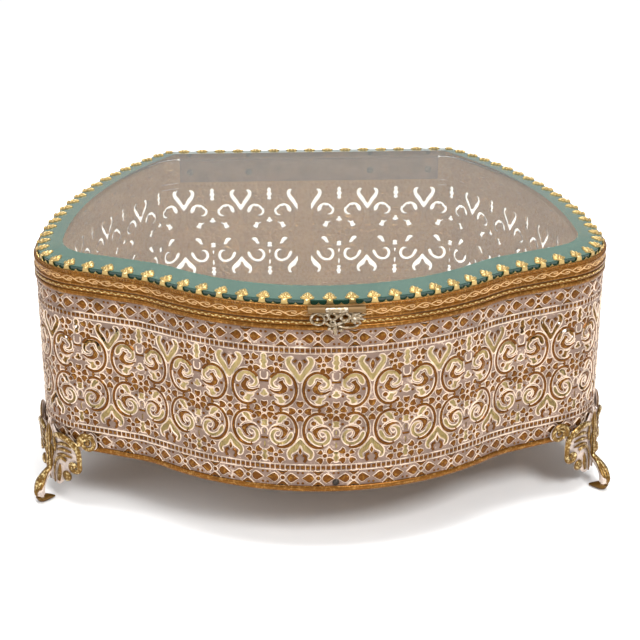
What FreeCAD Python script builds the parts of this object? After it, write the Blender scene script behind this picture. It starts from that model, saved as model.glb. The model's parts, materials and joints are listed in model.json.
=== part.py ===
import FreeCAD, Part
import math
import os
import re

import Sketcher
from FreeCAD import Placement, Rotation, Vector

# Jewel casket: pierced metal wall bent to a bow-fronted plan, four cast corner feet,
# a hinged lid with a bevelled glass held by prongs, and a hinged clasp.
# Millimetres, +Z up, front towards -Y. It is drawn about the middle of its plan and then
# slid along Y, so that the origin is on the ground under the middle of its overall box.

DIMENSIONS = (
    # plan, measured over the rims
    ("width", 240),
    ("depth", 202),
    ("bulge_radius", 105),
    ("bulge_angle", 40),
    ("hollow_radius", 41),
    ("flank_angle", 23.5),
    ("corner_radius", 30.5),
    ("side_turn", 129),
    ("rear_radius", 12.5),
    ("least_radius", 1),
    # walls and rims of the case
    ("foot_height", 26),
    ("wall_height", 74),
    ("wall_thick", 0.8),
    ("rim_proud", 1),
    ("top_rim_height", 4),
    ("bottom_rim_height", 2.4),
    # bottom
    ("pan_lift", 0.6),
    ("pan_thick", 0.8),
    ("pan_height", 4.9),
    ("lining_thick", 3.5),
    ("lining_gap", 0.6),
    # lid
    ("seam_gap", 0.4),
    ("lid_rim_height", 5.8),
    ("lid_rim_thick", 1.2),
    ("strip_thick", 0.5),
    ("strip_lift", 0.7),
    ("strip_height", 5.8),
    ("seat_width", 3.3),
    ("seat_thick", 0.8),
    ("seat_height", 5.2),
    ("glass_gap", 0.2),
    ("glass_thick", 4.2),
    ("glass_edge", 2.3),
    ("bevel_width", 10.5),
    ("prong_count", 82),
    ("prong_width", 2.6),
    ("prong_reach", 4.2),
    # hinge
    ("hinge_margin", 0.9),
    ("leaf_thick", 0.6),
    ("leaf_drop", 11),
    ("leaf_rise", 4.2),
    ("knuckle_count", 9),
    ("knuckle_radius", 2),
    ("knuckle_gap", 0.3),
    ("barrel_gap", 0.15),
    ("pin_radius", 0.8),
    ("pin_clearance", 0.05),
    ("leaf_rivet_end", 5),
    ("leaf_rivet_step", 29),
    ("leaf_rivet_drop", 6),
    ("lid_rivet_rise", 2.5),
    ("lid_rivet_scale", 0.75),
    ("notch_margin", 1),
    # feet
    ("foot_gap", 0.15),
    ("foot_thick", 2.2),
    ("foot_rise", 11),
    ("shoulder_low", 2),
    ("shoulder_middle", 5),
    ("shoulder_high", 8),
    ("foot_span", 19.5),
    ("foot_stem", 7),
    ("foot_flare", 11),
    ("boss_low", 4.6),
    ("boss_high", 10.4),
    ("boss_half", 3.5),
    # fasteners
    ("rivet_radius", 0.8),
    ("rivet_head", 1.6),
    ("rivet_dome", 0.9),
    ("screw_radius", 0.7),
    ("screw_head", 1.4),
    ("screw_lift", 3.9),
    ("hole_clearance", 0.1),
    # clasp
    ("clasp_shift", 2.5),
    ("clasp_width", 22),
    ("clasp_drop", 10.8),
    ("clasp_thick", 1.4),
    ("clasp_stand", 2.1),
    ("clasp_lift", 5),
    ("clasp_plate", 0.8),
    ("clasp_knuckle", 1.1),
    ("clasp_pin", 0.5),
    ("clasp_centre", 4),
    ("clasp_gap", 0.3),
    ("clasp_scroll", 1.4),
    ("catch_width", 6),
    ("catch_height", 2.8),
    ("catch_thick", 0.6),
)
NAMES = {name for name, value in DIMENSIONS}

doc = FreeCAD.newDocument("JewelCasket")
sheet = doc.addObject("Spreadsheet::Sheet", "Sizes")
for row, (name, value) in enumerate(DIMENSIONS, start=1):
    sheet.set(f"A{row}", name)
    sheet.set(f"B{row}", str(value))
    sheet.setAlias(f"B{row}", name)
doc.recompute()


def bound(formula):
    """Point the size names in a formula at their cells."""
    return re.sub(r"[a-z_]+", lambda m: f"Sizes.{m[0]}" if m[0] in NAMES else m[0], formula)


def number(formula):
    result = sheet.evalExpression(bound(formula))
    return float(getattr(result, "Value", result))


def bind(item, prop, formula):
    item.setExpression(prop, bound(formula))


# heights
WALL_LOW = "foot_height"
WALL_TOP = "(foot_height + wall_height)"
LID_LOW = "(foot_height + wall_height + seam_gap)"
SEAT_LOW = f"({LID_LOW} + seat_height - seat_thick)"
GLASS_LOW = f"({LID_LOW} + seat_height)"
GLASS_EDGE = f"({GLASS_LOW} + glass_edge)"
GLASS_TOP = f"({GLASS_LOW} + glass_thick)"
PAN_LOW = "(foot_height + pan_lift)"
HINGE_Z = "(foot_height + wall_height + seam_gap / 2)"
HINGE_Y = "(depth / 2 + knuckle_radius + barrel_gap)"
SCREW_Z = "(foot_height + screw_lift)"
BOSS_Z = "(foot_height + (boss_low + boss_high) / 2)"
CLASP_Y = "(0 - depth / 2 - clasp_stand)"
CLASP_Z = f"({LID_LOW} + clasp_lift)"

# insets from the plan line of the rims
WALL_OUT = "rim_proud"
WALL_IN = "(rim_proud + wall_thick)"
STRIP_OUT = "lid_rim_thick"
STRIP_IN = "(lid_rim_thick + strip_thick)"
GLASS_IN = "(lid_rim_thick + strip_thick + glass_gap)"

FOOT_TOP = "(foot_height + foot_rise)"

BULGE = "(bulge_angle * 1 deg)"
FLANK = "(flank_angle * 1 deg)"
TURN = "(side_turn * 1 deg)"
FRONT_MIDDLE = 0.5 * (number("flank_angle") + 90)
REAR_MIDDLE = 0.5 * (number("side_turn") + 180)


def plan_line(inset):
    """Corners and bends of the closed plan line, drawn an even inset inside the rims."""
    bulge = f"(bulge_radius - {inset})"
    hollow = f"(hollow_radius + {inset})"
    corner = f"(corner_radius - {inset})"
    rear = f"max(rear_radius - {inset}; least_radius)"
    half = f"(width / 2 - {inset})"
    back = f"(depth / 2 - {inset})"
    x_bulge = f"({bulge} * sin{BULGE})"
    y_bulge = f"({bulge} * (1 - cos{BULGE}) - {back})"
    x_hollow = f"({x_bulge} + {hollow} * (sin{BULGE} - sin{FLANK}))"
    y_hollow = f"({y_bulge} + {hollow} * (cos{FLANK} - cos{BULGE}))"
    x_flank = f"({half} - {corner} * (1 - sin{FLANK}))"
    y_flank = f"({y_hollow} + ({x_flank} - {x_hollow}) * tan{FLANK})"
    y_corner = f"({y_flank} + {corner} * cos{FLANK})"
    y_side = f"({back} - {rear} * (1 + cos{TURN}))"
    side = f"(({y_side} - {y_corner}) / (0 - cos{TURN}))"
    x_side = f"({half} - {side} * (1 - sin{TURN}))"
    x_back = f"({x_side} - {rear} * sin{TURN})"
    right = [
        (x_bulge, y_bulge),
        (x_hollow, y_hollow),
        (x_flank, y_flank),
        (half, y_corner),
        (x_side, y_side),
        (x_back, back),
    ]
    corners = right + [(f"(0 - {x})", y) for x, y in reversed(right)]
    one_side = [(hollow, -1), None, (corner, 1), (side, 1), (rear, 1)]
    return corners, one_side + [None] + one_side[::-1] + [(bulge, 1)]


def fixed(sketch, kind, formula, *places):
    index = sketch.addConstraint(Sketcher.Constraint(kind, *places, number(formula)))
    bind(sketch, f"Constraints[{index}]", formula)


def draw(sketch, corners, bends):
    """Closed profile: straight where the bend is None, else an arc (radius, +1 left or -1 right)."""
    spots = [Vector(number(x), number(y), 0) for x, y in corners]
    ends = []
    for k, bend in enumerate(bends):
        start, stop = spots[k], spots[(k + 1) % len(spots)]
        if bend is None:
            ends.append((sketch.addGeometry(Part.LineSegment(start, stop)), 1, 2))
            continue
        radius, turn = number(bend[0]), bend[1]
        chord = stop - start
        rise = math.sqrt(radius**2 - chord.Length**2 / 4)
        centre = (start + stop) / 2 + Vector(-chord.y, chord.x, 0).normalize() * rise * turn
        first, last = (start, stop) if turn > 0 else (stop, start)
        angles = [math.atan2(p.y - centre.y, p.x - centre.x) for p in (first, last)]
        circle = Part.Circle(centre, Vector(0, 0, 1), radius)
        arc = sketch.addGeometry(Part.ArcOfCircle(circle, *angles))
        ends.append((arc, 1, 2) if turn > 0 else (arc, 2, 1))
        fixed(sketch, "Radius", bend[0], arc)
    for k, (line, start, stop) in enumerate(ends):
        after = ends[(k + 1) % len(ends)]
        sketch.addConstraint(Sketcher.Constraint("Coincident", line, stop, after[0], after[1]))
        fixed(sketch, "DistanceX", corners[k][0], -1, 1, line, start)
        fixed(sketch, "DistanceY", corners[k][1], -1, 1, line, start)


def draw_circle(sketch, across, up, radius):
    circle = Part.Circle(Vector(number(across), number(up), 0), Vector(0, 0, 1), number(radius))
    index = sketch.addGeometry(circle)
    fixed(sketch, "DistanceX", across, -1, 1, index, 3)
    fixed(sketch, "DistanceY", up, -1, 1, index, 3)
    fixed(sketch, "Radius", radius, index)


def new_body(label):
    body = doc.addObject("PartDesign::Body", label)
    body.Label = label
    return body


def new_sketch(body, role, name, lift="0"):
    """Sketch on one of the body's own planes, lifted along that plane's normal."""
    sketch = body.newObject("Sketcher::SketchObject", f"{body.Name}_{name}")
    plane = next(item for item in body.Origin.OriginFeatures if item.Role == role)
    sketch.AttachmentSupport = (plane, [""])
    sketch.MapMode = "FlatFace"
    bind(sketch, "AttachmentOffset.Base.z", lift)
    return sketch


def new_pad(body, sketch, length, middle=False):
    pad = body.newObject("PartDesign::Pad", f"{sketch.Name}_pad")
    pad.Profile = sketch
    bind(pad, "Length", length)
    pad.Midplane = middle
    body.Tip = pad
    return pad


def new_pocket(body, sketch, length, middle=True, flip=False):
    """Pocket that has to take some material away."""
    doc.recompute()
    before = body.Shape.Volume
    pocket = body.newObject("PartDesign::Pocket", f"{sketch.Name}_pocket")
    pocket.Profile = sketch
    bind(pocket, "Length", length)
    pocket.Midplane = middle
    pocket.Reversed = flip
    body.Tip = pocket
    doc.recompute()
    if body.Shape.Volume > before - 1e-3:
        raise ValueError(f"{sketch.Name} cuts nothing")
    return pocket


def plan_pad(label, outer, inner, low, high):
    """Plate, or ring when there is an inner inset, that follows the plan between two heights."""
    body = new_body(label)
    sketch = new_sketch(body, "XY_Plane", "plan", low)
    draw(sketch, *plan_line(outer))
    if inner is not None:
        draw(sketch, *plan_line(inner))
    new_pad(body, sketch, f"{high} - {low}")
    return body


def new_box(name, x, y, z, long, deep, high):
    """Box whose corner and sides are formulas."""
    box = doc.addObject("Part::Box", name)
    for prop, formula in (
        ("Length", long), ("Width", deep), ("Height", high),
        ("Placement.Base.x", x), ("Placement.Base.y", y), ("Placement.Base.z", z),
    ):
        bind(box, prop, formula)
    return box


def new_cut(label, base, tools):
    cut = doc.addObject("Part::Cut", f"{label}_cut")
    cut.Base = base
    if len(tools) == 1:
        cut.Tool = tools[0]
    else:
        cut.Tool = new_group(f"{label}_tools", tools)
    base.Label = f"{label}_blank"
    cut.Label = label
    return cut


def new_group(label, items):
    """Separate solids kept together in one node."""
    group = doc.addObject("Part::Compound", label)
    group.Links = items
    group.Label = label
    return group


def aim(position, direction):
    return Placement(position, Rotation(Vector(0, 0, 1), direction))


def new_cylinder(name, radius, height, place):
    rod = doc.addObject("Part::Cylinder", name)
    bind(rod, "Radius", radius)
    bind(rod, "Height", height)
    rod.Placement = place
    return rod


def new_rivet(name, place, head, dome, shank, length):
    """Domed head standing on the place, its shank running back from it."""
    cap = doc.addObject("Part::Sphere", f"{name}_head")
    ball = f"(({head} * {head} + {dome} * {dome}) / (2 * {dome}))"
    bind(cap, "Radius", ball)
    bind(cap, "Angle1", f"asin(1 - {dome} / {ball})")
    cap.Placement = place * Placement(Vector(0, 0, number(f"{dome} - {ball}")), Rotation())
    reach = number(length)
    rod = new_cylinder(f"{name}_shank", shank, length, place * Placement(Vector(0, 0, -reach), Rotation()))
    rivet = doc.addObject("Part::Fuse", name)
    rivet.Base = cap
    rivet.Tool = rod
    return rivet


def new_hole(name, place, radius, length):
    """Cylinder that runs both ways from the place, for clearing a shank."""
    half = number(length) / 2
    start = place * Placement(Vector(0, 0, -half), Rotation())
    return new_cylinder(name, f"{radius} + hole_clearance", length, start)


# ---- corner feet: each is drawn about the middle of its corner's arc, X outwards ----
FEET = {}
for side, mirror in (("right", 1), ("left", -1)):
    FEET[f"front_{side}"] = (
        "corner_radius", "(90 - flank_angle)", mirror,
        "(width / 2 - corner_radius)", plan_line("0")[0][3][1], FRONT_MIDDLE,
    )
    FEET[f"rear_{side}"] = (
        "rear_radius", "(180 - side_turn)", mirror,
        plan_line("0")[0][5][0], "(depth / 2 - rear_radius)", REAR_MIDDLE,
    )


def foot_place(name):
    """Frame of a foot: origin at its corner's arc centre, X along the outward bisector."""
    radius, sweep, mirror, x, y, heading = FEET[name]
    turn = heading - 90 if mirror > 0 else 270 - heading
    return Placement(Vector(mirror * number(x), number(y), 0), Rotation(Vector(0, 0, 1), turn))


def tangent_band(radius, sweep, inner, outer, tail):
    """Band between two offsets of a corner arc, carried on by straight tails."""
    corners = {}
    for key, offset in (("in", inner), ("out", outer)):
        r = f"({radius} + {offset})"
        x = f"({r} * cos({sweep} / 2 * 1 deg))"
        y = f"({r} * sin({sweep} / 2 * 1 deg))"
        x_tail = f"({x} - {tail} * sin({sweep} / 2 * 1 deg))"
        y_tail = f"({y} + {tail} * cos({sweep} / 2 * 1 deg))"
        corners[key] = (r, x, y, x_tail, y_tail)
    r, x, y, x_tail, y_tail = corners["out"]
    points = [(x_tail, f"(0 - {y_tail})"), (x, f"(0 - {y})"), (x, y), (x_tail, y_tail)]
    bends = [None, (r, 1), None, None]
    r, x, y, x_tail, y_tail = corners["in"]
    points += [(x_tail, y_tail), (x, y), (x, f"(0 - {y})"), (x_tail, f"(0 - {y_tail})")]
    bends += [None, (r, -1), None, None]
    return points, bends


# lobes of the bracket in its front view: shares of foot_span across and of foot_height up
LOBE = ((0.42, 0.42), (0.7, 0.62), (0.66, 0.88))
# shoulders above the lobes: shares of foot_span across, and heights over the wall's lower edge
SHOULDER = ((1, "shoulder_low"), (1, "shoulder_middle"), (0.82, "shoulder_high"))
# waist of the bracket and underside of its band, shares of foot_height
FOOT_WAIST = 0.35
BAND_LOW = 0.3
# side view of the stem below the ridge: shares of foot_flare out and of foot_height up
STEM_BACK = 0.72
INSTEP = ("(foot_gap + 1.6)", 0.42)
TOE = ((0.48, 0.2), (0.3, 0.06), (0.34, 0), (0.86, 0), (1, 0.24), (0.9, 0.38), (0.42, 0.55), (0.42, 1.05))


def foot_outline():
    """Front view of the bracket: shoulders with a scroll lobe each side and a waisted stem."""
    half = [("(foot_stem / 2)", f"(foot_height * {FOOT_WAIST})")]
    half += [(f"(foot_span * {across})", f"(foot_height * {up})") for across, up in LOBE]
    half += [(f"(foot_span * {across})", f"(foot_height + {up})") for across, up in SHOULDER]
    half += [("(foot_stem / 2)", "(foot_height + shoulder_high)"), ("(foot_stem / 4)", FOOT_TOP)]
    points = half + [(f"(0 - {y})", z) for y, z in reversed(half)]
    return points, [None] * len(points)


def stem_outline(radius):
    """Side view of the stem: ridge over the corner, waist, and a toe that curls outwards."""
    points = [
        ("foot_gap", f"({FOOT_TOP} - foot_gap)"),
        ("foot_gap", f"(foot_height * {STEM_BACK})"),
        (INSTEP[0], f"(foot_height * {INSTEP[1]})"),
    ]
    points += [(f"(foot_flare * {out})", f"(foot_height * {up})") for out, up in TOE]
    points += [("(foot_gap + foot_thick)", f"({FOOT_TOP} - foot_gap)")]
    return [(f"({radius} + {out})", up) for out, up in points], [None] * len(points)


def foot(name):
    radius, sweep = FEET[name][:2]
    outer = "(foot_gap + foot_thick)"
    low = f"(foot_height * {BAND_LOW})"
    body = new_body(f"foot_{name}")
    band = new_sketch(body, "XY_Plane", "band", low)
    draw(band, *tangent_band(radius, sweep, "foot_gap", outer, "foot_span"))
    new_pad(body, band, f"{FOOT_TOP} - {low}")
    trim = new_sketch(body, "YZ_Plane", "trim")
    draw(trim, *foot_outline())
    reach, rise = f"(3 * ({radius} + foot_span))", f"(2 * {FOOT_TOP})"
    frame = [(f"(0 - {reach})", f"(0 - {rise})"), (reach, f"(0 - {rise})"), (reach, rise),
             (f"(0 - {reach})", rise)]
    draw(trim, frame, [None] * 4)
    new_pocket(body, trim, f"6 * ({radius} + foot_span)")
    stem = new_sketch(body, "XZ_Plane", "stem")
    draw(stem, *stem_outline(radius))
    new_pad(body, stem, "foot_stem", middle=True)
    boss = new_sketch(body, "XY_Plane", "boss", "(foot_height + boss_low)")
    corners = []
    for offset in ("(0 - rim_proud)", "(foot_gap + foot_thick / 2)"):
        r = f"({radius} + {offset})"
        corners.append((r, f"sqrt({r} * {r} - boss_half * boss_half)"))
    (r_in, x_in), (r_out, x_out) = corners
    draw(
        boss,
        [(x_in, "(0 - boss_half)"), (x_out, "(0 - boss_half)"), (x_out, "boss_half"), (x_in, "boss_half")],
        [None, (r_out, 1), None, (r_in, -1)],
    )
    new_pad(body, boss, "boss_high - boss_low")
    bore = new_sketch(body, "YZ_Plane", "bore")
    draw_circle(bore, "0", BOSS_Z, "rivet_radius + hole_clearance")
    new_pocket(body, bore, f"2 * ({radius} + foot_thick * 0.7)")
    body.Placement = foot_place(name)
    return body


# ---- hinge ----
HINGE_LENGTH = f"(2 * ({plan_line('0')[0][5][0]} - hinge_margin))"
PITCH = f"({HINGE_LENGTH} / knuckle_count)"


def hinge_leaf(label, profile, first, count, tongue_low):
    """Leaf with every second knuckle of the barrel."""
    body = new_body(label)
    strip = new_sketch(body, "YZ_Plane", "leaf")
    draw(strip, profile, [None] * len(profile))
    new_pad(body, strip, HINGE_LENGTH, middle=True)
    start = f"({first} * {PITCH} - {HINGE_LENGTH} / 2 + knuckle_gap / 2)"
    roll = new_sketch(body, "YZ_Plane", "roll", start)
    draw_circle(roll, HINGE_Y, HINGE_Z, "knuckle_radius")
    draw_circle(roll, HINGE_Y, HINGE_Z, "pin_radius + pin_clearance")
    rolled = new_pad(body, roll, f"{PITCH} - knuckle_gap")
    tongue = new_sketch(body, "YZ_Plane", "tongue", start)
    inner = "(depth / 2 - rim_proud)"
    outer = f"({HINGE_Y} - (pin_radius + knuckle_radius) / 2)"
    draw(
        tongue,
        [(inner, tongue_low), (outer, tongue_low),
         (outer, f"({tongue_low} + leaf_thick)"), (inner, f"({tongue_low} + leaf_thick)")],
        [None] * 4,
    )
    joined = new_pad(body, tongue, f"{PITCH} - knuckle_gap")
    doc.recompute()
    row = body.newObject("PartDesign::LinearPattern", f"{label}_row")
    row.Originals = [rolled, joined]
    axis = next(item for item in body.Origin.OriginFeatures if item.Role == "X_Axis")
    row.Direction = (axis, [""])
    bind(row, "Length", f"{2 * (count - 1)} * {PITCH}")
    row.Occurrences = count
    body.Tip = row
    return body


TURNED_EDGE = "(depth / 2 - barrel_gap / 2)"
body_leaf_profile = [
    (f"(depth / 2 - {WALL_IN} - leaf_thick)", f"({WALL_TOP} - leaf_drop)"),
    (f"(depth / 2 - {WALL_IN})", f"({WALL_TOP} - leaf_drop)"),
    (f"(depth / 2 - {WALL_IN})", f"({WALL_TOP} - leaf_thick)"),
    (TURNED_EDGE, f"({WALL_TOP} - leaf_thick)"),
    (TURNED_EDGE, WALL_TOP),
    (f"(depth / 2 - {WALL_IN} - leaf_thick)", WALL_TOP),
]
lid_leaf_profile = [
    (f"(depth / 2 - {STRIP_IN} - leaf_thick)", LID_LOW),
    (TURNED_EDGE, LID_LOW),
    (TURNED_EDGE, f"({LID_LOW} + leaf_thick)"),
    (f"(depth / 2 - {STRIP_IN})", f"({LID_LOW} + leaf_thick)"),
    (f"(depth / 2 - {STRIP_IN})", f"({LID_LOW} + leaf_rise)"),
    (f"(depth / 2 - {STRIP_IN} - leaf_thick)", f"({LID_LOW} + leaf_rise)"),
]
KNUCKLES = int(number("knuckle_count"))
hinge_leaf_body = hinge_leaf(
    "hinge_leaf_body", body_leaf_profile, 0, (KNUCKLES + 1) // 2, f"({WALL_TOP} - leaf_thick)"
)
hinge_leaf_lid = hinge_leaf("hinge_leaf_lid", lid_leaf_profile, 1, KNUCKLES // 2, LID_LOW)
hinge_pin = new_cylinder(
    "hinge_pin", "pin_radius", HINGE_LENGTH,
    aim(Vector(-number(HINGE_LENGTH) / 2, number(HINGE_Y), number(HINGE_Z)), Vector(1, 0, 0)),
)

# ---- fasteners: places point out of the surface that the head stands on ----
OUTWARDS = Placement(Vector(), Rotation(Vector(0, 1, 0), 90))
BACKWARDS = Placement(Vector(), Rotation(Vector(1, 0, 0), 180))


def foot_rivet_place(name):
    """Inside the wall at a foot, set in so that the head's edge meets the curved wall."""
    inner = f"({FEET[name][0]} - {WALL_IN})"
    seat = number(f"sqrt({inner} * {inner} - rivet_head * rivet_head)")
    return foot_place(name) * Placement(Vector(seat, 0, number(BOSS_Z)), Rotation()) * OUTWARDS


foot_places = {name: foot_rivet_place(name) for name in FEET}
foot_rivets = new_group(
    "foot_rivets",
    [
        new_rivet(f"rivet_{name}", place * BACKWARDS, "rivet_head", "rivet_dome", "rivet_radius",
                  "wall_thick + rim_proud + foot_thick / 2")
        for name, place in foot_places.items()
    ],
)
screw_places = {
    "front": aim(Vector(number("clasp_shift"), -number(f"depth / 2 - {WALL_OUT}"), number(SCREW_Z)),
                 Vector(0, -1, 0)),
    "back": aim(Vector(0, number(f"depth / 2 - {WALL_OUT}"), number(SCREW_Z)), Vector(0, 1, 0)),
}
SCREW_LENGTH = "wall_thick + pan_thick + lining_gap / 2"
pan_screws = new_group(
    "pan_screws",
    [
        new_rivet(f"screw_{name}", place, "screw_head", "rim_proud * 0.9", "screw_radius", SCREW_LENGTH)
        for name, place in screw_places.items()
    ],
)
RIVET_OUTER = f"({HINGE_LENGTH} / 2 - leaf_rivet_end)"
RIVET_INNER = f"({RIVET_OUTER} - leaf_rivet_step)"
leaf_spots = [sign * number(size) for size in (RIVET_OUTER, RIVET_INNER) for sign in (-1, 1)]
body_face = number(f"depth / 2 - {WALL_IN} - leaf_thick")
lid_face = number(f"depth / 2 - {STRIP_IN} - leaf_thick")
body_leaf_places = [
    aim(Vector(x, body_face, number(f"{WALL_TOP} - leaf_rivet_drop")), Vector(0, -1, 0)) for x in leaf_spots
]
lid_leaf_places = [
    aim(Vector(x, lid_face, number(f"{LID_LOW} + lid_rivet_rise")), Vector(0, -1, 0)) for x in leaf_spots
]
hinge_rivets_body = new_group(
    "hinge_rivets_body",
    [
        new_rivet(f"body_leaf_rivet_{k}", place, "rivet_head", "rivet_dome", "rivet_radius",
                  "leaf_thick + wall_thick")
        for k, place in enumerate(body_leaf_places)
    ],
)
hinge_rivets_lid = new_group(
    "hinge_rivets_lid",
    [
        new_rivet(f"lid_leaf_rivet_{k}", place, "rivet_head * lid_rivet_scale",
                  "rivet_dome * lid_rivet_scale", "rivet_radius * lid_rivet_scale",
                  "leaf_thick + strip_thick + lid_rim_thick")
        for k, place in enumerate(lid_leaf_places)
    ],
)

# ---- case ----
notch_length = f"{HINGE_LENGTH} + 2 * knuckle_gap"
notch_start = f"(0 - {HINGE_LENGTH} / 2 - knuckle_gap)"
notch_front = f"(depth / 2 - {WALL_IN} - notch_margin)"
notch_depth = f"{WALL_IN} + 2 * notch_margin"
body_notch = new_box(
    "body_notch", notch_start, notch_front, f"{WALL_TOP} - leaf_thick - pin_clearance",
    notch_length, notch_depth, "leaf_thick + notch_margin",
)
lid_notch = new_box(
    "lid_notch", notch_start, notch_front, f"{LID_LOW} - notch_margin",
    notch_length, notch_depth, "leaf_thick + notch_margin + pin_clearance",
)
foot_holes = [
    new_hole(f"foot_hole_{name}", place, "rivet_radius", "4 * wall_thick")
    for name, place in foot_places.items()
]
screw_holes = [
    new_hole(f"screw_hole_{name}", place, "screw_radius", "4 * (wall_thick + pan_thick)")
    for name, place in screw_places.items()
]
leaf_holes = [
    new_hole(f"leaf_hole_{k}", place, "rivet_radius", "4 * (leaf_thick + wall_thick)")
    for k, place in enumerate(body_leaf_places)
]
lid_leaf_holes = [
    new_hole(f"lid_leaf_hole_{k}", place, "rivet_radius * lid_rivet_scale",
             "4 * (leaf_thick + strip_thick + lid_rim_thick)")
    for k, place in enumerate(lid_leaf_places)
]
filigree_wall = new_cut(
    "filigree_wall",
    plan_pad("filigree_wall", WALL_OUT, WALL_IN, WALL_LOW, WALL_TOP),
    [body_notch] + foot_holes + screw_holes + leaf_holes,
)
body_top_rim = new_cut(
    "body_top_rim",
    plan_pad("body_top_rim", "0", WALL_OUT, f"({WALL_TOP} - top_rim_height)", WALL_TOP),
    [body_notch],
)
body_bottom_rim = plan_pad(
    "body_bottom_rim", "0", WALL_OUT, WALL_LOW, f"({WALL_LOW} + bottom_rim_height)"
)
base_pan_blank = plan_pad("base_pan", WALL_IN, None, PAN_LOW, f"({PAN_LOW} + pan_height)")
pan_hollow = new_sketch(base_pan_blank, "XY_Plane", "hollow", f"({PAN_LOW} + pan_height)")
draw(pan_hollow, *plan_line(f"({WALL_IN} + pan_thick)"))
new_pocket(base_pan_blank, pan_hollow, "pan_height - pan_thick", middle=False)
base_pan = new_cut("base_pan", base_pan_blank, screw_holes)
LINING_LOW = f"({PAN_LOW} + pan_thick)"
floor_lining = plan_pad(
    "floor_lining", f"({WALL_IN} + pan_thick + lining_gap)", None,
    LINING_LOW, f"({LINING_LOW} + lining_thick)",
)
hinge_leaf_body_drilled = new_cut("hinge_leaf_body", hinge_leaf_body, leaf_holes)

# ---- lid ----
lid_rim = new_cut(
    "lid_rim",
    plan_pad("lid_rim", "0", STRIP_OUT, LID_LOW, f"({LID_LOW} + lid_rim_height)"),
    [lid_notch] + lid_leaf_holes,
)
hinge_leaf_lid_drilled = new_cut("hinge_leaf_lid", hinge_leaf_lid, lid_leaf_holes)
glass_seat = plan_pad("glass_seat", STRIP_IN, f"({STRIP_IN} + seat_width)", SEAT_LOW, GLASS_LOW)

glass_panel = plan_pad("glass_panel", GLASS_IN, None, GLASS_LOW, GLASS_EDGE)
bevel_foot = new_sketch(glass_panel, "XY_Plane", "bevel_foot", GLASS_EDGE)
draw(bevel_foot, *plan_line(GLASS_IN))
bevel_head = new_sketch(glass_panel, "XY_Plane", "bevel_head", GLASS_TOP)
draw(bevel_head, *plan_line(f"({GLASS_IN} + bevel_width)"))
bevel = glass_panel.newObject("PartDesign::AdditiveLoft", "glass_bevel")
bevel.Profile = bevel_foot
bevel.Sections = [bevel_head]
bevel.Ruled = True
glass_panel.Tip = bevel

STRIP_LOW = f"({LID_LOW} + strip_lift)"
strip = plan_pad("prong_strip", STRIP_OUT, STRIP_IN, STRIP_LOW, f"({STRIP_LOW} + strip_height)")
doc.recompute()


def walk(wire, count):
    """Evenly spaced points and outward directions along a closed wire, from its front middle."""
    edges = wire.OrderedEdges
    front = min(edges, key=lambda edge: edge.CenterOfMass.y)
    first = next(k for k, edge in enumerate(edges) if edge.isSame(front))
    edges = edges[first:] + edges[:first]
    lengths = [edge.Length for edge in edges]
    step = sum(lengths) / count
    for k in range(count):
        along = (front.Length / 2 + k * step) % sum(lengths)
        for edge, length in zip(edges, lengths):
            if along <= length:
                break
            along -= length
        ends = (edge.FirstParameter, edge.LastParameter)
        forward = edge.Orientation == "Forward"
        at = edge.getParameterByLength(along if forward else length - along)
        tangent = edge.tangentAt(min(max(at, min(ends)), max(ends)))
        outward = Vector(tangent.y, -tangent.x, 0)
        point = edge.valueAt(at)
        if outward.dot(point) < 0:
            outward = -outward
        yield point, outward


def prong(point, outward):
    """Tab that rises beside the glass and is folded down over its bevel."""
    thick, wide = number("strip_thick"), number("prong_width")
    reach, low = number("prong_reach"), number(f"{LID_LOW} + lid_rim_height")
    bend = number(GLASS_EDGE) + 2 * number("glass_gap")
    slope = math.atan2(number("glass_thick - glass_edge"), number("bevel_width"))
    post = Part.makeBox(thick, wide, bend + thick - low, Vector(-thick, -wide / 2, low - bend))
    tab = Part.makeBox(reach, wide, thick, Vector(-reach, -wide / 2, 0))
    tab.rotate(Vector(0, 0, 0), Vector(0, 1, 0), math.degrees(slope))
    shape = post.fuse(tab)
    angle = math.degrees(math.atan2(outward.y, outward.x))
    shape.Placement = Placement(Vector(point.x, point.y, bend), Rotation(Vector(0, 0, 1), angle))
    return shape


strip_lines = sorted(strip.Group[0].Shape.Wires, key=lambda wire: wire.Length)
prongs = [prong(*spot) for spot in walk(strip_lines[-1], int(number("prong_count")))]
cleared = strip.Shape.cut(Part.makeCompound([hole.Shape for hole in lid_leaf_holes]))
prong_gallery = doc.addObject("Part::Feature", "prong_gallery")
prong_gallery.Shape = cleared.fuse(prongs)
prong_gallery.Placement = Placement()
prong_gallery.Label = "prong_gallery"

# ---- clasp ----
HALF = "(clasp_width / 2)"
SIDE_LENGTH = "(clasp_width / 2 - clasp_centre - clasp_gap)"


def front_band(body, name, low, high, half, thick):
    """Plate bent to the front bulge and laid on its face, centred on the clasp."""
    sketch = new_sketch(body, "XY_Plane", name, low)
    corners = []
    middle = "(bulge_radius - depth / 2)"
    outer = f"(bulge_radius + {thick})"
    for radius, sign in ((outer, "-"), (outer, "+"), ("bulge_radius", "+"), ("bulge_radius", "-")):
        x = f"(clasp_shift {sign} {half})"
        corners.append((x, f"({middle} - sqrt({radius} * {radius} - {x} * {x}))"))
    draw(sketch, corners, [(outer, 1), None, ("bulge_radius", -1), None])
    new_pad(body, sketch, f"{high} - {low}")


def clasp_rolls(body, starts, length, arm):
    """Knuckles along the clasp's pin, each with an arm that joins it to its plate."""
    for k, start in enumerate(starts):
        roll = new_sketch(body, "YZ_Plane", f"roll_{k}", start)
        draw_circle(roll, CLASP_Y, CLASP_Z, "clasp_knuckle")
        draw_circle(roll, CLASP_Y, CLASP_Z, "clasp_pin + pin_clearance")
        new_pad(body, roll, length)
        join = new_sketch(body, "YZ_Plane", f"arm_{k}", start)
        draw(join, arm, [None] * 4)
        new_pad(body, join, length)


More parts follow.
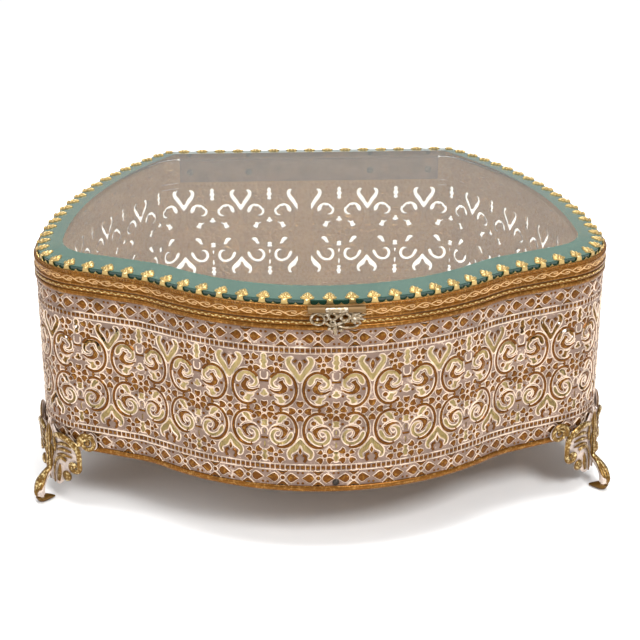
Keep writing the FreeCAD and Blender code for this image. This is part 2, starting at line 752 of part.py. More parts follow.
clasp_plate = new_body("clasp_plate")
front_band(clasp_plate, "plate", f"({CLASP_Z} - clasp_knuckle)", f"({CLASP_Z} + clasp_knuckle)",
           HALF, "clasp_plate")
arm_back = "(0 - depth / 2 - clasp_plate / 2)"
arm_near = f"({CLASP_Y} + clasp_pin + 3 * pin_clearance)"
ARM_LOW = f"({CLASP_Z} - clasp_knuckle / 2)"
ARM_HIGH = f"({CLASP_Z} + clasp_knuckle / 2)"
clasp_rolls(
    clasp_plate,
    [f"(clasp_shift - {HALF})", "(clasp_shift + clasp_centre + clasp_gap)"],
    SIDE_LENGTH,
    [(arm_near, ARM_LOW), (arm_back, ARM_LOW), (arm_back, ARM_HIGH), (arm_near, ARM_HIGH)],
)
clasp_hinge_pin = new_cylinder(
    "clasp_hinge_pin", "clasp_pin", "clasp_width",
    aim(Vector(number(f"clasp_shift - {HALF}"), number(CLASP_Y), number(CLASP_Z)), Vector(1, 0, 0)),
)
# the leaf hangs under the pin: a wide top with two pierced scrolls, drawn in to a short tail
LEAF_TOP = f"({CLASP_Z} - clasp_knuckle - clasp_gap)"
LEAF_END = f"({CLASP_Z} - clasp_drop)"
LEAF_SIDE = f"({LEAF_TOP} - 4 * clasp_scroll)"
TAIL_TOP = f"({LEAF_END} + 2 * clasp_scroll)"
LEAF_FACE = f"({CLASP_Y} - clasp_thick / 2)"
clasp_flap = new_body("clasp_flap")
leaf = new_sketch(clasp_flap, "XZ_Plane", "leaf", f"(0 - {LEAF_FACE} - clasp_thick)")
left, right = f"(clasp_shift - {HALF})", f"(clasp_shift + {HALF})"
draw(
    leaf,
    [(left, LEAF_SIDE), ("(clasp_shift - clasp_centre)", TAIL_TOP),
     ("(clasp_shift - clasp_scroll)", LEAF_END), ("(clasp_shift + clasp_scroll)", LEAF_END),
     ("(clasp_shift + clasp_centre)", TAIL_TOP), (right, LEAF_SIDE), (right, LEAF_TOP), (left, LEAF_TOP)],
    [None] * 8,
)
for sign in "-+":
    draw_circle(leaf, f"(clasp_shift {sign} ({HALF} + clasp_centre / 2) / 2)",
                f"({LEAF_TOP} - 2 * clasp_scroll)", "clasp_scroll")
new_pad(clasp_flap, leaf, "clasp_thick")
leaf_back = f"({LEAF_FACE} + clasp_thick)"
arm_foot, arm_head = f"({LEAF_TOP} - clasp_gap)", f"({CLASP_Z} - clasp_pin - 2 * pin_clearance)"
clasp_rolls(
    clasp_flap,
    ["(clasp_shift - clasp_centre)"],
    "2 * clasp_centre",
    [(LEAF_FACE, arm_foot), (leaf_back, arm_foot), (leaf_back, arm_head), (LEAF_FACE, arm_head)],
)
clasp_catch = new_body("clasp_catch")
CATCH_MIDDLE = f"({WALL_TOP} - top_rim_height / 2)"
front_band(clasp_catch, "plate", f"({CATCH_MIDDLE} - catch_height / 2)",
           f"({CATCH_MIDDLE} + catch_height / 2)", "(catch_width / 2)", "catch_thick")

feet = [foot(name) for name in FEET]

NODES = [
    filigree_wall, body_top_rim, body_bottom_rim, base_pan, floor_lining, pan_screws, foot_rivets,
    hinge_leaf_body_drilled, hinge_leaf_lid_drilled, hinge_pin, hinge_rivets_body, hinge_rivets_lid,
    lid_rim, prong_gallery, glass_seat, glass_panel,
    clasp_plate, clasp_hinge_pin, clasp_flap, clasp_catch,
] + feet

doc.recompute()
edges = [node.Shape.BoundBox for node in NODES]
slide = -(min(box.YMin for box in edges) + max(box.YMax for box in edges)) / 2
for node in NODES:
    node.Placement = Placement(Vector(0, slide, 0), Rotation()) * node.Placement
doc.recompute()
for item in doc.Objects:
    if "Invalid" in item.State or "Error" in item.State:
        raise ValueError(f"{item.Label}: {item.State}")
for node in NODES:
    if node.Shape.isNull() or not node.Shape.isValid():
        raise ValueError(f"{node.Label}: shape is not valid")
    if not node.Shape.Solids:
        raise ValueError(f"{node.Label}: no solid")

print(f"slid {slide:.3f} mm; lid axis at y {number(HINGE_Y) + slide:.3f} z {number(HINGE_Z):.3f}; "
      f"clasp axis at y {number(CLASP_Y) + slide:.3f} z {number(CLASP_Z):.3f}")
os.makedirs("parts", exist_ok=True)
for node in NODES:
    node.Shape.exportStep(f"parts/{node.Label}.step")
    print(f"{node.Label}: {len(node.Shape.Solids)} solids, {node.Shape.Volume:.1f} mm3")
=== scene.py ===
import json
from math import cos, pi, radians, sin

import bpy
import numpy as np
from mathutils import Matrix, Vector

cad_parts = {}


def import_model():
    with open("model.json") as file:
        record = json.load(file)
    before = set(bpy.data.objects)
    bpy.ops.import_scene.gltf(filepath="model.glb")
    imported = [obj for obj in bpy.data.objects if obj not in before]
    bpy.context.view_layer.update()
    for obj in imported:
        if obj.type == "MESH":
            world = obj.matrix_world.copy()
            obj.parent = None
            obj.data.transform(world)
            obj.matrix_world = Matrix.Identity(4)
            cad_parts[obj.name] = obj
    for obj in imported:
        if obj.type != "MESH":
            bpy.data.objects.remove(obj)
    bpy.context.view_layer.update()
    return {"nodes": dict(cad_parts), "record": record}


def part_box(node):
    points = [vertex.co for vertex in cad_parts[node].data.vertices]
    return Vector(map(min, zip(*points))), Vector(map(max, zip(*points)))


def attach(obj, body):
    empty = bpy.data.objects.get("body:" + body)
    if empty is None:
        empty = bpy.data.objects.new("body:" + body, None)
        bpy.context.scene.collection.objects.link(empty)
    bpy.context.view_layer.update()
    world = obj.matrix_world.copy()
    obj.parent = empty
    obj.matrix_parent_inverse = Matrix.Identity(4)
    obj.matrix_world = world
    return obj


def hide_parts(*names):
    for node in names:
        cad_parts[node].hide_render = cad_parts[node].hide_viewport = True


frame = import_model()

# Jewel casket. Metal pieces are modelled flat in millimetres, x along the wall from the front
# middle, y up from the ground and z out of the wall, and are then bent round the plan of the
# packed case, which is read from its wall and its rims.

MM = 0.001


# ---------------------------------------------------------------- the plan line
def lowest_line(node):
    """Places round the lowest edge of a CAD ring, in mm, in the order of a walk along it."""
    mesh = frame["nodes"][node].data
    places = np.array([v.co for v in mesh.vertices]) / MM
    low = places[:, 2].min()
    steps = {}
    for polygon in mesh.polygons:
        ring = [tuple(np.round(places[k], 3)) for k in polygon.vertices]
        for a, b in zip(ring, ring[1:] + ring[:1]):
            if a[2] - low < 0.01 and b[2] - low < 0.01 and abs(polygon.normal.z) < 0.5:
                steps.setdefault(a[:2], []).append(b[:2])
                steps.setdefault(b[:2], []).append(a[:2])
    start = min(steps)
    line, last, here = [start], None, start
    while True:
        onward = [p for p in dict.fromkeys(steps[here]) if p != last and p != here]
        last, here = here, onward[0]
        if here == start:
            break
        line.append(here)
    return np.array(line)


def plan_of(node):
    """Plan line of a CAD ring: places, outward normals and lengths, in mm."""
    line = lowest_line(node)
    after = np.roll(line, -1, axis=0)
    if np.sum(line[:, 0] * after[:, 1] - after[:, 0] * line[:, 1]) < 0:
        line = line[::-1]
    step = np.roll(line, -1, axis=0) - line
    side = np.column_stack((step[:, 1], -step[:, 0])) / np.linalg.norm(step, axis=1)[:, None]
    normal = side + np.roll(side, 1, axis=0)
    normal /= np.linalg.norm(normal, axis=1)[:, None]
    length = np.concatenate(([0], np.cumsum(np.linalg.norm(step, axis=1))))
    whole = length[-1]
    # the front middle is where the front run crosses x = 0
    closed = np.vstack((line, line[:1]))
    for k in range(len(line)):
        a, b = closed[k], closed[k + 1]
        if a[1] < 0 and min(a[0], b[0]) <= 0 < max(a[0], b[0]):
            front = length[k] + np.linalg.norm(b - a) * (0 - a[0]) / (b[0] - a[0])
    normals = np.vstack((normal, normal[:1]))
    return {"places": closed, "normals": normals, "length": length - front, "whole": whole}


def along(plan, x):
    """Places and normals at lengths x along the plan line, from the front middle to the right."""
    low = plan["length"][0]
    x = (np.asarray(x, float) - low) % plan["whole"] + low
    place = np.column_stack([np.interp(x, plan["length"], plan["places"][:, k]) for k in (0, 1)])
    normal = np.column_stack([np.interp(x, plan["length"], plan["normals"][:, k]) for k in (0, 1)])
    return place, normal / np.linalg.norm(normal, axis=1)[:, None]


WALL = plan_of("filigree_wall")
RIM = plan_of("body_bottom_rim")
LID = RIM  # the lid's rim stands over the rims of the case

# The rims and the wall stand back from each other along the hinge, to clear its leaves
NOTCH_DEEP = 0.65
HINGE_GAP = 0.3
HINGE_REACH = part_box("hinge_leaf_body")[1].x + HINGE_GAP * MM
HINGE_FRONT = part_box("hinge_leaf_body")[0].y
NOTCH_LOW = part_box("body_top_rim")[1].z / MM - NOTCH_DEEP
NOTCH_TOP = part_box("lid_rim")[0].z / MM + NOTCH_DEEP


# ---------------------------------------------------------------- working tools
def choose(*pieces):
    if bpy.context.object and bpy.context.object.mode != "OBJECT":
        bpy.ops.object.mode_set(mode="OBJECT")
    bpy.ops.object.select_all(action="DESELECT")
    for piece in pieces:
        piece.select_set(True)
    bpy.context.view_layer.objects.active = pieces[0]


def edit(piece):
    choose(piece)
    bpy.ops.object.mode_set(mode="EDIT")
    bpy.ops.mesh.select_mode(type="FACE")
    bpy.ops.mesh.select_all(action="SELECT")


def done():
    bpy.ops.object.mode_set(mode="OBJECT")


def finish_modifier(piece, kind, **settings):
    choose(piece)
    modifier = piece.modifiers.new(kind.lower(), kind)
    for key, value in settings.items():
        setattr(modifier, key, value)
    bpy.ops.object.modifier_apply(modifier=modifier.name)


def joined(name, *pieces):
    choose(*pieces)
    if len(pieces) > 1:
        bpy.ops.object.join()
    piece = bpy.context.object
    piece.name = piece.data.name = name
    return piece


def copied(piece, name):
    twin = piece.copy()
    twin.data = piece.data.copy()
    twin.name = twin.data.name = name
    bpy.context.collection.objects.link(twin)
    return twin


def points_of(piece):
    flat = np.empty(len(piece.data.vertices) * 3)
    piece.data.vertices.foreach_get("co", flat)
    return flat.reshape(-1, 3)


def move_points(piece, places):
    piece.data.vertices.foreach_set("co", np.asarray(places, float).ravel())
    piece.data.update()


def moved(piece, x=0.0, y=0.0, out=0.0):
    """Shifts a flat piece along the wall, up it and out of it."""
    move_points(piece, points_of(piece) + np.array((x, y, out)))
    return piece


def marked(piece, name, values):
    """Number per point that the material reads: how far the gilding shows through the wash."""
    layer = piece.data.attributes.get(name) or piece.data.attributes.new(name, "FLOAT", "POINT")
    full = np.broadcast_to(np.asarray(values, float), (len(piece.data.vertices),))
    layer.data.foreach_set("value", np.ascontiguousarray(full, np.float32))
    return piece


def bent(piece, plan, shift=0):
    """Carries a flat piece round the plan line, from millimetres to metres."""
    flat = points_of(piece)
    place, normal = along(plan, flat[:, 0] + shift)
    ring = place + normal * flat[:, 2:3]
    move_points(piece, np.column_stack((ring, flat[:, 1])) * MM)
    return piece


def cleared(piece, floor=None, ceiling=None):
    """Draws a piece's edge back along the hinge, between the CAD notch's heights in millimetres."""
    places = points_of(piece)
    at_hinge = (np.abs(places[:, 0]) < HINGE_REACH) & (places[:, 1] > HINGE_FRONT)
    if floor is not None:
        low = at_hinge & (places[:, 2] < floor * MM)
        places[low, 2] = floor * MM
    if ceiling is not None:
        high = at_hinge & (places[:, 2] > ceiling * MM)
        places[high, 2] = ceiling * MM
    move_points(piece, places)
    return piece


def welded(piece, gap=0.002):
    edit(piece)
    bpy.ops.mesh.remove_doubles(threshold=gap)
    done()
    return piece


def outward(piece):
    edit(piece)
    bpy.ops.mesh.normals_make_consistent(inside=False)
    done()
    return piece


def smooth(piece, angle=40):
    choose(piece)
    bpy.ops.object.shade_smooth_by_angle(angle=radians(angle))
    return piece


ACROSS, UP, OUT = Vector((1, 0, 0)), Vector((0, 1, 0)), Vector((0, 0, 1))


def cut(axis, place, **how):
    """Cuts the piece in edit mode at a place along an axis, and clears one side if told to."""
    bpy.ops.mesh.select_all(action="SELECT")
    bpy.ops.mesh.bisect(plane_co=axis * place, plane_no=axis, **how)


def mirror_x(piece, weld=True):
    """Adds the mirror image across x = 0, welded along that line where the halves meet."""
    finish_modifier(piece, "MIRROR", use_axis=(True, False, False), use_mirror_merge=weld,
                    merge_threshold=0.001)
    return piece


def whole(half):
    """Closed outline from the half that lies to the right of x = 0."""
    return half + [(-x, y) for x, y in reversed(half) if x > 1e-6]


def turned(points, x, y, angle=0, size=1):
    c, s = cos(radians(angle)) * size, sin(radians(angle)) * size
    return [(x + px * c - py * s, y + px * s + py * c) for px, py in points]


def round_line(x, y, radius, count=8):
    return [(x + radius * cos(2 * pi * k / count), y + radius * sin(2 * pi * k / count))
            for k in range(count)]


def bow(x, y, wide, tall, first, last, count=14):
    """Open arc of an ellipse between two angles."""
    return [(x + wide * cos(radians(first + (last - first) * k / count)),
             y + tall * sin(radians(first + (last - first) * k / count))) for k in range(count + 1)]


def flowing(curve, line, closed):
    """Smooth run through (x, y) points, or (x, y, out, radius) points where a bar tapers."""
    spline = curve.splines.new("BEZIER")
    spline.bezier_points.add(len(line) - 1)
    for point, (x, y, *rest) in zip(spline.bezier_points, line):
        out, radius = rest or (0, 1)
        point.co = (x, y, out)
        point.radius = radius
        point.handle_left_type = point.handle_right_type = "AUTO"
    spline.use_cyclic_u = closed


def straight(curve, line, closed):
    """Run of straight steps through (x, y) points."""
    spline = curve.splines.new("POLY")
    spline.points.add(len(line) - 1)
    for point, (x, y) in zip(spline.points, line):
        point.co = (x, y, 0, 1)
    spline.use_cyclic_u = closed


def drawn(name, lines, closed, smoothed=True, radius=0.0, sides=1, fill=False, detail=3, edge=None):
    """Curve along the lines, made a mesh: outlines, sheets filled between them, or round bars."""
    curve = bpy.data.curves.new(name, "CURVE")
    curve.dimensions = "2D" if fill else "3D"
    curve.fill_mode = "FRONT" if fill else "FULL"
    curve.resolution_u = detail
    curve.bevel_depth = radius
    curve.bevel_resolution = sides
    curve.use_fill_caps = not closed
    if edge:
        straight(curve, edge, True)
    for line in lines:
        if smoothed:
            flowing(curve, line, closed)
        else:
            straight(curve, line, closed)
    piece = bpy.data.objects.new(name, curve)
    bpy.context.collection.objects.link(piece)
    choose(piece)
    bpy.ops.object.convert(target="MESH")
    return bpy.context.object


def ridges(name, lines, radius, closed=False, rise=0.8, show=0.2, sides=0, smoothed=True, detail=2):
    """Ridges standing on the wall, their undersides cut away."""
    piece = drawn(name, lines, closed, smoothed, radius, sides, detail=detail)
    flat = points_of(piece)
    flat[:, 2] *= rise
    move_points(piece, flat)
    edit(piece)
    cut(OUT, 0, clear_inner=True)
    done()
    return marked(piece, "gilt", show)


def domes(name, outlines, rise, slope, show=1.0, smoothed=True, detail=2):
    """Closed outlines raised like pillows: a sloped side, then a low crown."""
    piece = drawn(name, outlines, True, smoothed, detail=detail)
    edit(piece)
    bpy.ops.mesh.edge_face_add()
    done()
    for face in piece.data.polygons:
        face.select = face.normal.z < 0
    bpy.ops.object.mode_set(mode="EDIT")
    bpy.ops.mesh.flip_normals()
    bpy.ops.mesh.select_all(action="SELECT")
    bpy.ops.mesh.inset(thickness=slope, depth=rise)
    bpy.ops.mesh.inset(thickness=slope * 1.2, depth=rise * 0.35)
    done()
    height = points_of(piece)[:, 2] / (rise * 1.35)
    return marked(piece, "gilt", np.clip(show * (0.55 + 0.5 * height), 0, 1))


# ---------------------------------------------------------------- filigree pattern
PERIOD = 28.4
HALF = PERIOD / 2
REPEATS = 25
PART_REPEATS = 5
CENTRE_SHIFT = 2.6
WALL_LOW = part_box("filigree_wall")[0].z / MM
WALL_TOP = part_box("filigree_wall")[1].z / MM
WALL_THICK = 0.8
BEADS = 14

# Pierced shapes of one half repeat. Heights are over the wall's lower edge; the club axis is
# x = 0 and the lily axis is x = HALF.
CLUB_TOP = [(0, 59.5), (0.85, 59.0), (1.2, 58.0), (0.95, 57.1), (1.5, 56.2), (1.2, 55.2), (0.85, 54.8),
            (1.25, 53.9), (0.8, 53.1), (0, 52.8)]
CROSS = [(0, 44.1), (0.85, 43.7), (0.8, 43.0), (1.6, 42.5), (1.45, 41.6), (0.7, 41.3), (0, 41.0)]
CUP = [(0, 31.2), (0.9, 31.0), (1.4, 30.3), (1.1, 29.4), (1.5, 28.6), (0.9, 28.1), (0, 28.0)]
LOOP_SLIT = [(0, 26.9), (0.32, 26.2), (0.28, 25.2), (0, 24.7)]
LOW_SLIT = [(0, 21.6), (0.34, 20.8), (0.3, 19.3), (0, 18.7)]
CLUB_LOW = [(0, 17.8), (0.95, 17.6), (1.25, 16.8), (0.75, 16.1), (1.3, 15.3), (1.4, 14.2), (1.0, 13.2),
            (0, 12.9)]
LILY = [(0, 47.6), (1.1, 48.5), (2.6, 50.9), (4.4, 53.2), (5.4, 55.2), (5.6, 56.8), (5.0, 58.1),
        (3.8, 58.7), (2.6, 58.3), (2.9, 57.7), (3.4, 56.8), (3.3, 55.8), (2.1, 54.3), (0.9, 52.4), (0, 51.0)]
ANCHOR = [(0, 23.3), (0.7, 22.9), (1.6, 21.6), (2.9, 20.3), (4.5, 18.6), (5.3, 17.0), (5.1, 15.2),
          (4.1, 14.0), (2.9, 14.4), (3.3, 15.1), (3.5, 16.1), (2.5, 16.9), (1.2, 17.8), (0.5, 19.2),
          (0, 20.2)]
CRESCENT = [(11.1, 46.7), (10.8, 49.0), (9.4, 50.7), (7.1, 51.4), (4.85, 50.9), (3.2, 49.7), (2.35, 47.8),
            (2.5, 46.0), (3.5, 44.9), (4.85, 44.6), (6.0, 45.2), (4.9, 45.6), (4.0, 46.4), (3.9, 47.5),
            (4.9, 48.4), (5.6, 49.4), (6.6, 49.2), (7.6, 49.7), (8.4, 48.9), (8.7, 47.8), (9.3, 46.9),
            (10.3, 46.3)]
SCROLL_EYE = [(4.0, 41.6), (5.6, 41.3), (7.1, 41.6), (7.5, 40.4), (8.5, 39.4), (7.3, 38.3), (5.9, 38.2),
              (5.4, 40.0)]
LOW_CRESCENT = [(11.2, 25.8), (11.4, 24.2), (10.0, 22.0), (8.1, 20.5), (5.7, 20.0), (3.4, 21.0), (2.2, 23.0),
                (2.3, 25.2), (3.5, 26.8), (5.2, 27.1), (6.2, 26.4), (5.0, 26.0), (4.0, 24.7), (4.1, 22.9),
                (5.4, 21.8), (7.2, 22.0), (8.6, 22.9), (9.5, 24.8), (10.4, 25.9)]
LOW_EYE = [(6.1, 32.7), (7.6, 33.5), (9.2, 32.8), (7.6, 31.0), (6.8, 29.9), (5.0, 29.9), (5.5, 31.2)]

# Raised shapes
PETAL = [(1.15, 0), (1.7, 0.85), (2.8, 1.3), (3.7, 1.05), (3.45, 0), (3.7, -1.05), (2.8, -1.3), (1.7, -0.85)]
LONG_PETAL = [(1.5, 0.35), (2.1, 1.3), (3.0, 1.9), (3.9, 1.55), (4.9, 0.75), (5.9, 0), (4.9, -0.75),
              (3.9, -1.55), (3.0, -1.9), (2.1, -1.3), (1.5, -0.35)]
FAN_PETAL = [(0.4, 1.25), (1.3, 2.1), (2.3, 3.0), (1.1, 3.1), (0, 2.85), (-1.1, 3.1), (-2.3, 3.0),
             (-1.3, 2.1), (-0.4, 1.25)]
SCROLL_LEAF = [(1.8, 44.6), (3.0, 43.2), (5.0, 42.4), (7.2, 42.4), (9.0, 43.6), (9.5, 45.2), (8.8, 46.4),
               (8.0, 47.4), (7.5, 48.6), (6.4, 48.2), (5.5, 47.4), (6.6, 46.6), (7.1, 45.3), (6.2, 43.9),
               (4.4, 43.7), (2.9, 44.4)]
LOW_LEAF = [(2.6, 27.4), (3.8, 28.5), (5.6, 28.9), (7.9, 28.3), (9.6, 26.8), (8.9, 24.9), (8.0, 23.6),
            (6.8, 22.8), (6.2, 23.4), (7.0, 24.4), (7.3, 25.8), (6.4, 27.2), (4.4, 27.7)]
LILY_LEAF = [(0, 52.4), (0.75, 53.8), (1.0, 55.0), (0.5, 56.4), (0, 56.9)]
ANCHOR_LEAF = [(0, 19.4), (0.5, 18.6), (0.8, 17.6), (0.4, 16.6), (0, 16.1)]


def across_lily(points):
    return [(HALF + x, y) for x, y in points]


def openings(*slits):
    """Outlines of the holes of one half repeat, with or without the thin slits."""
    upright = [whole(line) for line in (CLUB_TOP, CROSS, CUP, *slits, CLUB_LOW)]
    upright += [across_lily(whole(line)) for line in (LILY, ANCHOR)]
    return upright + [CRESCENT, SCROLL_EYE, LOW_CRESCENT, LOW_EYE]


def pierced_half():
    """Plate with its holes, from the club axis to the lily axis, cut narrow enough to bend."""
    margin = 8
    strips = 12
    tall = WALL_TOP - WALL_LOW
    edge = [(-margin, 0), (HALF + margin, 0), (HALF + margin, tall), (-margin, tall)]
    plate = welded(drawn("plate", openings(LOOP_SLIT, LOW_SLIT), True, fill=True, edge=edge), 0.0005)
    edit(plate)
    cut(ACROSS, 0, clear_inner=True)
    cut(ACROSS, HALF, clear_outer=True)
    for k in range(1, strips):
        cut(ACROSS, HALF * k / strips)
    done()
    return plate


def petals(x, y, angles, outline=PETAL, size=1.1):
    return [turned(outline, x, y, angle, size) for angle in angles]


QUARTER = HALF / 2
BEAD_STEP = HALF / (BEADS / 2)
BEAD_ROWS = (61.2, 10.4)
BAND_ROWS = (66.2, 5.7)
HEARTS = [(4.9, 55.1), (4.5, 15.8), (QUARTER, BAND_ROWS[0]), (QUARTER, BAND_ROWS[1]), (0, 35.0),
          (HALF, 35.2)]


def leaf_lines():
    """Outlines of the gilt leaves and petals of one half repeat."""
    leaves = [SCROLL_LEAF, LOW_LEAF, across_lily(whole(LILY_LEAF)), across_lily(whole(ANCHOR_LEAF))]
    for y in BAND_ROWS:
        leaves += petals(QUARTER, y, (0, 180), LONG_PETAL) + petals(QUARTER, y, (0, 180), FAN_PETAL)
    leaves += petals(4.9, 55.1, (118, 52, 228), PETAL, 1.15) + petals(4.9, 55.1, (-8,), PETAL, 0.75)
    leaves += petals(4.9, 55.1, (280,), PETAL, 0.95)
    leaves += petals(4.5, 15.8, (135, 225, 312), PETAL, 1.12) + petals(4.5, 15.8, (40,), PETAL, 0.9)
    leaves += petals(0, 35.0, (90, 18, 162, 270, -36, 216), PETAL, 1.15)
    leaves += petals(HALF, 35.2, (90, 0, 180, 270), PETAL, 1.25)
    return leaves


def gilt_half(leaves):
    """Gilt leaves, beads, dots and rings that stand up from the plate."""
    blocks = [[(-1.8, 47.2), (1.8, 47.2), (1.9, 48.2), (-1.9, 48.2)],
              [(-1.4, 22.5), (1.4, 22.5), (1.5, 23.5), (-1.5, 23.5)],
              [(5.9, 34.5), (7.4, 34.5), (7.3, 37.1), (5.9, 37.1)]]
    bead = [(0.72, -0.76), (0.72, 0.76), (-0.72, 0.76), (-0.72, -0.76)]
    blocks += [turned(bead, BEAD_STEP * (k + 0.5), y) for k in range(BEADS // 2) for y in BEAD_ROWS]
    dots = [round_line(x, y + dy, 0.6, 6)
            for x in (0.95, HALF - 0.95) for y in BAND_ROWS for dy in (-2.3, 2.3)]
    dots += [round_line(x, y, r, 7) for x, y, r in (
        (10.75, 44.4, 0.7), (8.9, 41.1, 1.0), (4.0, 38.4, 1.0), (2.6, 41.6, 0.6),
        (8.9, 30.0, 1.0), (4.3, 32.0, 1.0), (10.7, 27.4, 0.6), (2.5, 29.5, 0.7), (5.4, 23.1, 0.5))]
    dots += [round_line(x, y, 0.85, 8) for x, y in HEARTS]
    rings = [bow(7.1, 44.5, 5.75, 7.4, 140, -118, 16), bow(7.1, 26.8, 5.75, 7.5, 118, -112, 16)]
    for curl in ([(0.9, 16.0), (1.9, 15.6), (2.3, 14.3), (1.6, 12.9)],
                 [(1.4, 57.4), (1.9, 56.3), (2.5, 56.9)]):
        rings += [across_lily([(side * x, y) for x, y in curl]) for side in (1, -1)]
    return joined("gilt", domes("leaves", leaves, 0.3, 0.2),
                  domes("blocks", blocks + dots, 0.26, 0.18, smoothed=False),
                  ridges("gilt_rings", rings, 0.68, rise=0.7, show=0.85, sides=1, detail=1))


def pale_half(leaves):
    """Pale washed ridges round the holes and the leaves, and the lines between them."""
    rows = [[(-1, y), (HALF + 1, y)] for y in (62.55, 59.85, 11.75, 9.05)]
    uprights = [[(BEAD_STEP * k, y - 1.2), (BEAD_STEP * k, y + 1.2)]
                for k in range(1, BEADS // 2) for y in BEAD_ROWS]
    club_stem = [(1.35, 51.6), (1.45, 49.9), (1.05, 48.8), (0, 48.45), (-1.05, 48.8), (-1.45, 49.9),
                 (-1.35, 51.6)]
    cup_stem = [(1.2, 24.4), (1.35, 26.3), (0.75, 27.4), (0, 27.6), (-0.75, 27.4), (-1.35, 26.3),
                (-1.2, 24.4)]
    lines = [club_stem, cup_stem,
             bow(7.1, 44.5, 4.95, 6.6, 5, -125, 10), bow(7.1, 26.9, 4.95, 6.7, -10, 120, 10),
             bow(7.1, 44.5, 6.5, 8.2, 118, -100, 14), bow(7.1, 26.8, 6.5, 8.3, 100, -95, 14),
             [(1.6, 25.6), (2.9, 28.0), (5.7, 29.4), (8.4, 28.8), (10.2, 26.9)],
             [(6.5, 26.4), (6.3, 25.0), (5.3, 24.1), (4.5, 24.6)],
             [(1.8, 46.0), (2.7, 43.6), (5.0, 41.9), (7.6, 41.9)],
             [(5.6, 46.4), (6.4, 45.6), (5.6, 44.7)]]
    collars = [round_line(x, y, 1.15, 8) for x, y in HEARTS]
    collars += [round_line(x, y, 1.3, 8) for x, y in ((8.9, 41.1), (4.0, 38.4), (8.9, 30.0), (4.3, 32.0))]
    return joined("pale", ridges("hole_lips", openings(), 0.27, closed=True, rise=1.3),
                  ridges("leaf_edges", leaves, 0.2, closed=True, rise=1.7, detail=1),
                  ridges("rows", rows, 0.3, rise=1.2, smoothed=False),
                  ridges("uprights", uprights, 0.16, rise=1.5, smoothed=False),
                  ridges("lines", lines, 0.27, rise=1.3),
                  ridges("collars", collars, 0.18, closed=True, rise=1.7, smoothed=False))


def full_repeat(half):
    """Half repeat trimmed to its cell, with its mirror image welded on the club axis."""
    edit(half)
    cut(ACROSS, 0, clear_inner=True)
    cut(ACROSS, HALF, clear_outer=True)
    cut(UP, 0, clear_inner=True)
    cut(UP, WALL_TOP - WALL_LOW, clear_outer=True)
    done()
    return mirror_x(half)


def row_of(pattern, name, first):
    """Copies of one repeat side by side, welded where they meet."""
    row = copied(pattern, name)
    finish_modifier(row, "ARRAY", count=PART_REPEATS, use_relative_offset=False, use_constant_offset=True,
                    constant_offset_displace=(PERIOD, 0, 0), use_merge_vertices=True, merge_threshold=0.001)
    return moved(row, first * PERIOD + CENTRE_SHIFT, WALL_LOW)


BACK_RELIEF = 0.55  # height of the relief on the inner face, as a share of the outer one


def backed(piece, name):
    """The same relief, lower, on the inner face of the wall."""
    back = copied(piece, name)
    flat = points_of(back)
    flat[:, 2] = -WALL_THICK - BACK_RELIEF * flat[:, 2]
    move_points(back, flat)
    edit(back)
    bpy.ops.mesh.flip_normals()
    done()
    return marked(back, "inner", 1)


WALL_PARTS = ("filigree_left_back", "filigree_left", "filigree_front", "filigree_right",
              "filigree_right_back")


def filigree():
    """The pierced wall in five lengths, with a plain lap behind where its two ends meet."""
    leaves = leaf_lines()
    plate = mirror_x(pierced_half())
    gilt = full_repeat(gilt_half(leaves))
    pale = full_repeat(pale_half(leaves))
    walls = []
    for k, name in enumerate(WALL_PARTS):
        first = k * PART_REPEATS - REPEATS // 2
        sheet = bent(row_of(plate, "sheet", first), WALL)
        marked(sheet, "gilt", 0)
        finish_modifier(sheet, "SOLIDIFY", thickness=WALL_THICK * MM, offset=-1, use_even_offset=True,
                        use_rim=True)
        front = row_of(gilt, "front", first)
        back = bent(backed(front, "back"), WALL)
        lines = bent(row_of(pale, "lines", first), WALL)
        bent(front, WALL)
        marked(front, "inner", 0)
        marked(lines, "inner", 0)
        marked(sheet, "inner", inner_side(sheet))
        walls.append(smooth(cleared(joined(name, sheet, front, lines, back), ceiling=NOTCH_LOW), 50))
    for pattern in (plate, gilt, pale):
        bpy.data.objects.remove(pattern)
    walls.append(back_lap())
    return walls


LAP_OVER = 0.05


def back_lap():
    """The plain ends of the strip, one lying a little over the other at the back."""
    tall = WALL_TOP - WALL_LOW
    half = REPEATS / 2 * PERIOD
    left = half + CENTRE_SHIFT - LAP_OVER
    right = WALL["whole"] - half + CENTRE_SHIFT + LAP_OVER
    middle = (left + right) / 2
    strips = []
    for low, high, out, thick in ((left, right, -0.02, WALL_THICK), (left, middle, 0.2, 0.5)):
        bpy.ops.object.select_all(action="DESELECT")
        bpy.ops.mesh.primitive_grid_add(x_subdivisions=6, y_subdivisions=30, size=1,
                                        location=((low + high) / 2, WALL_LOW + tall / 2, out))
        strip = bpy.context.object
        strip.scale = (high - low, tall, 1)
        bpy.ops.object.transform_apply(location=True, rotation=True, scale=True)
        finish_modifier(strip, "SOLIDIFY", thickness=thick, offset=-1)
        marked(strip, "inner", points_of(strip)[:, 2] < -WALL_THICK / 2)
        strips.append(bent(strip, WALL))
    lap = joined("filigree_back_lap", *strips)
    marked(lap, "gilt", 0.05)
    return smooth(cleared(lap, ceiling=NOTCH_LOW), 50)


LINE_STEP = 2.0
BLOCK = 4000  # points compared with the plan line at a time, to keep the arrays small


def inner_side(piece):
    """1 on the points that lie on the inner face of the wall, 0 on the outer face."""
    places = points_of(piece)[:, :2] / MM
    line, normal = along(WALL, np.arange(0, WALL["whole"], LINE_STEP))
    inner = np.empty(len(places))
    for start in range(0, len(places), BLOCK):
        block = places[start:start + BLOCK]
        gap = ((block[:, None, :] - line[None, :, :]) ** 2).sum(axis=2)
        near = gap.argmin(axis=1)
        depth = ((block - line[near]) * normal[near]).sum(axis=1)
        inner[start:start + BLOCK] = depth < -WALL_THICK / 2
    return inner


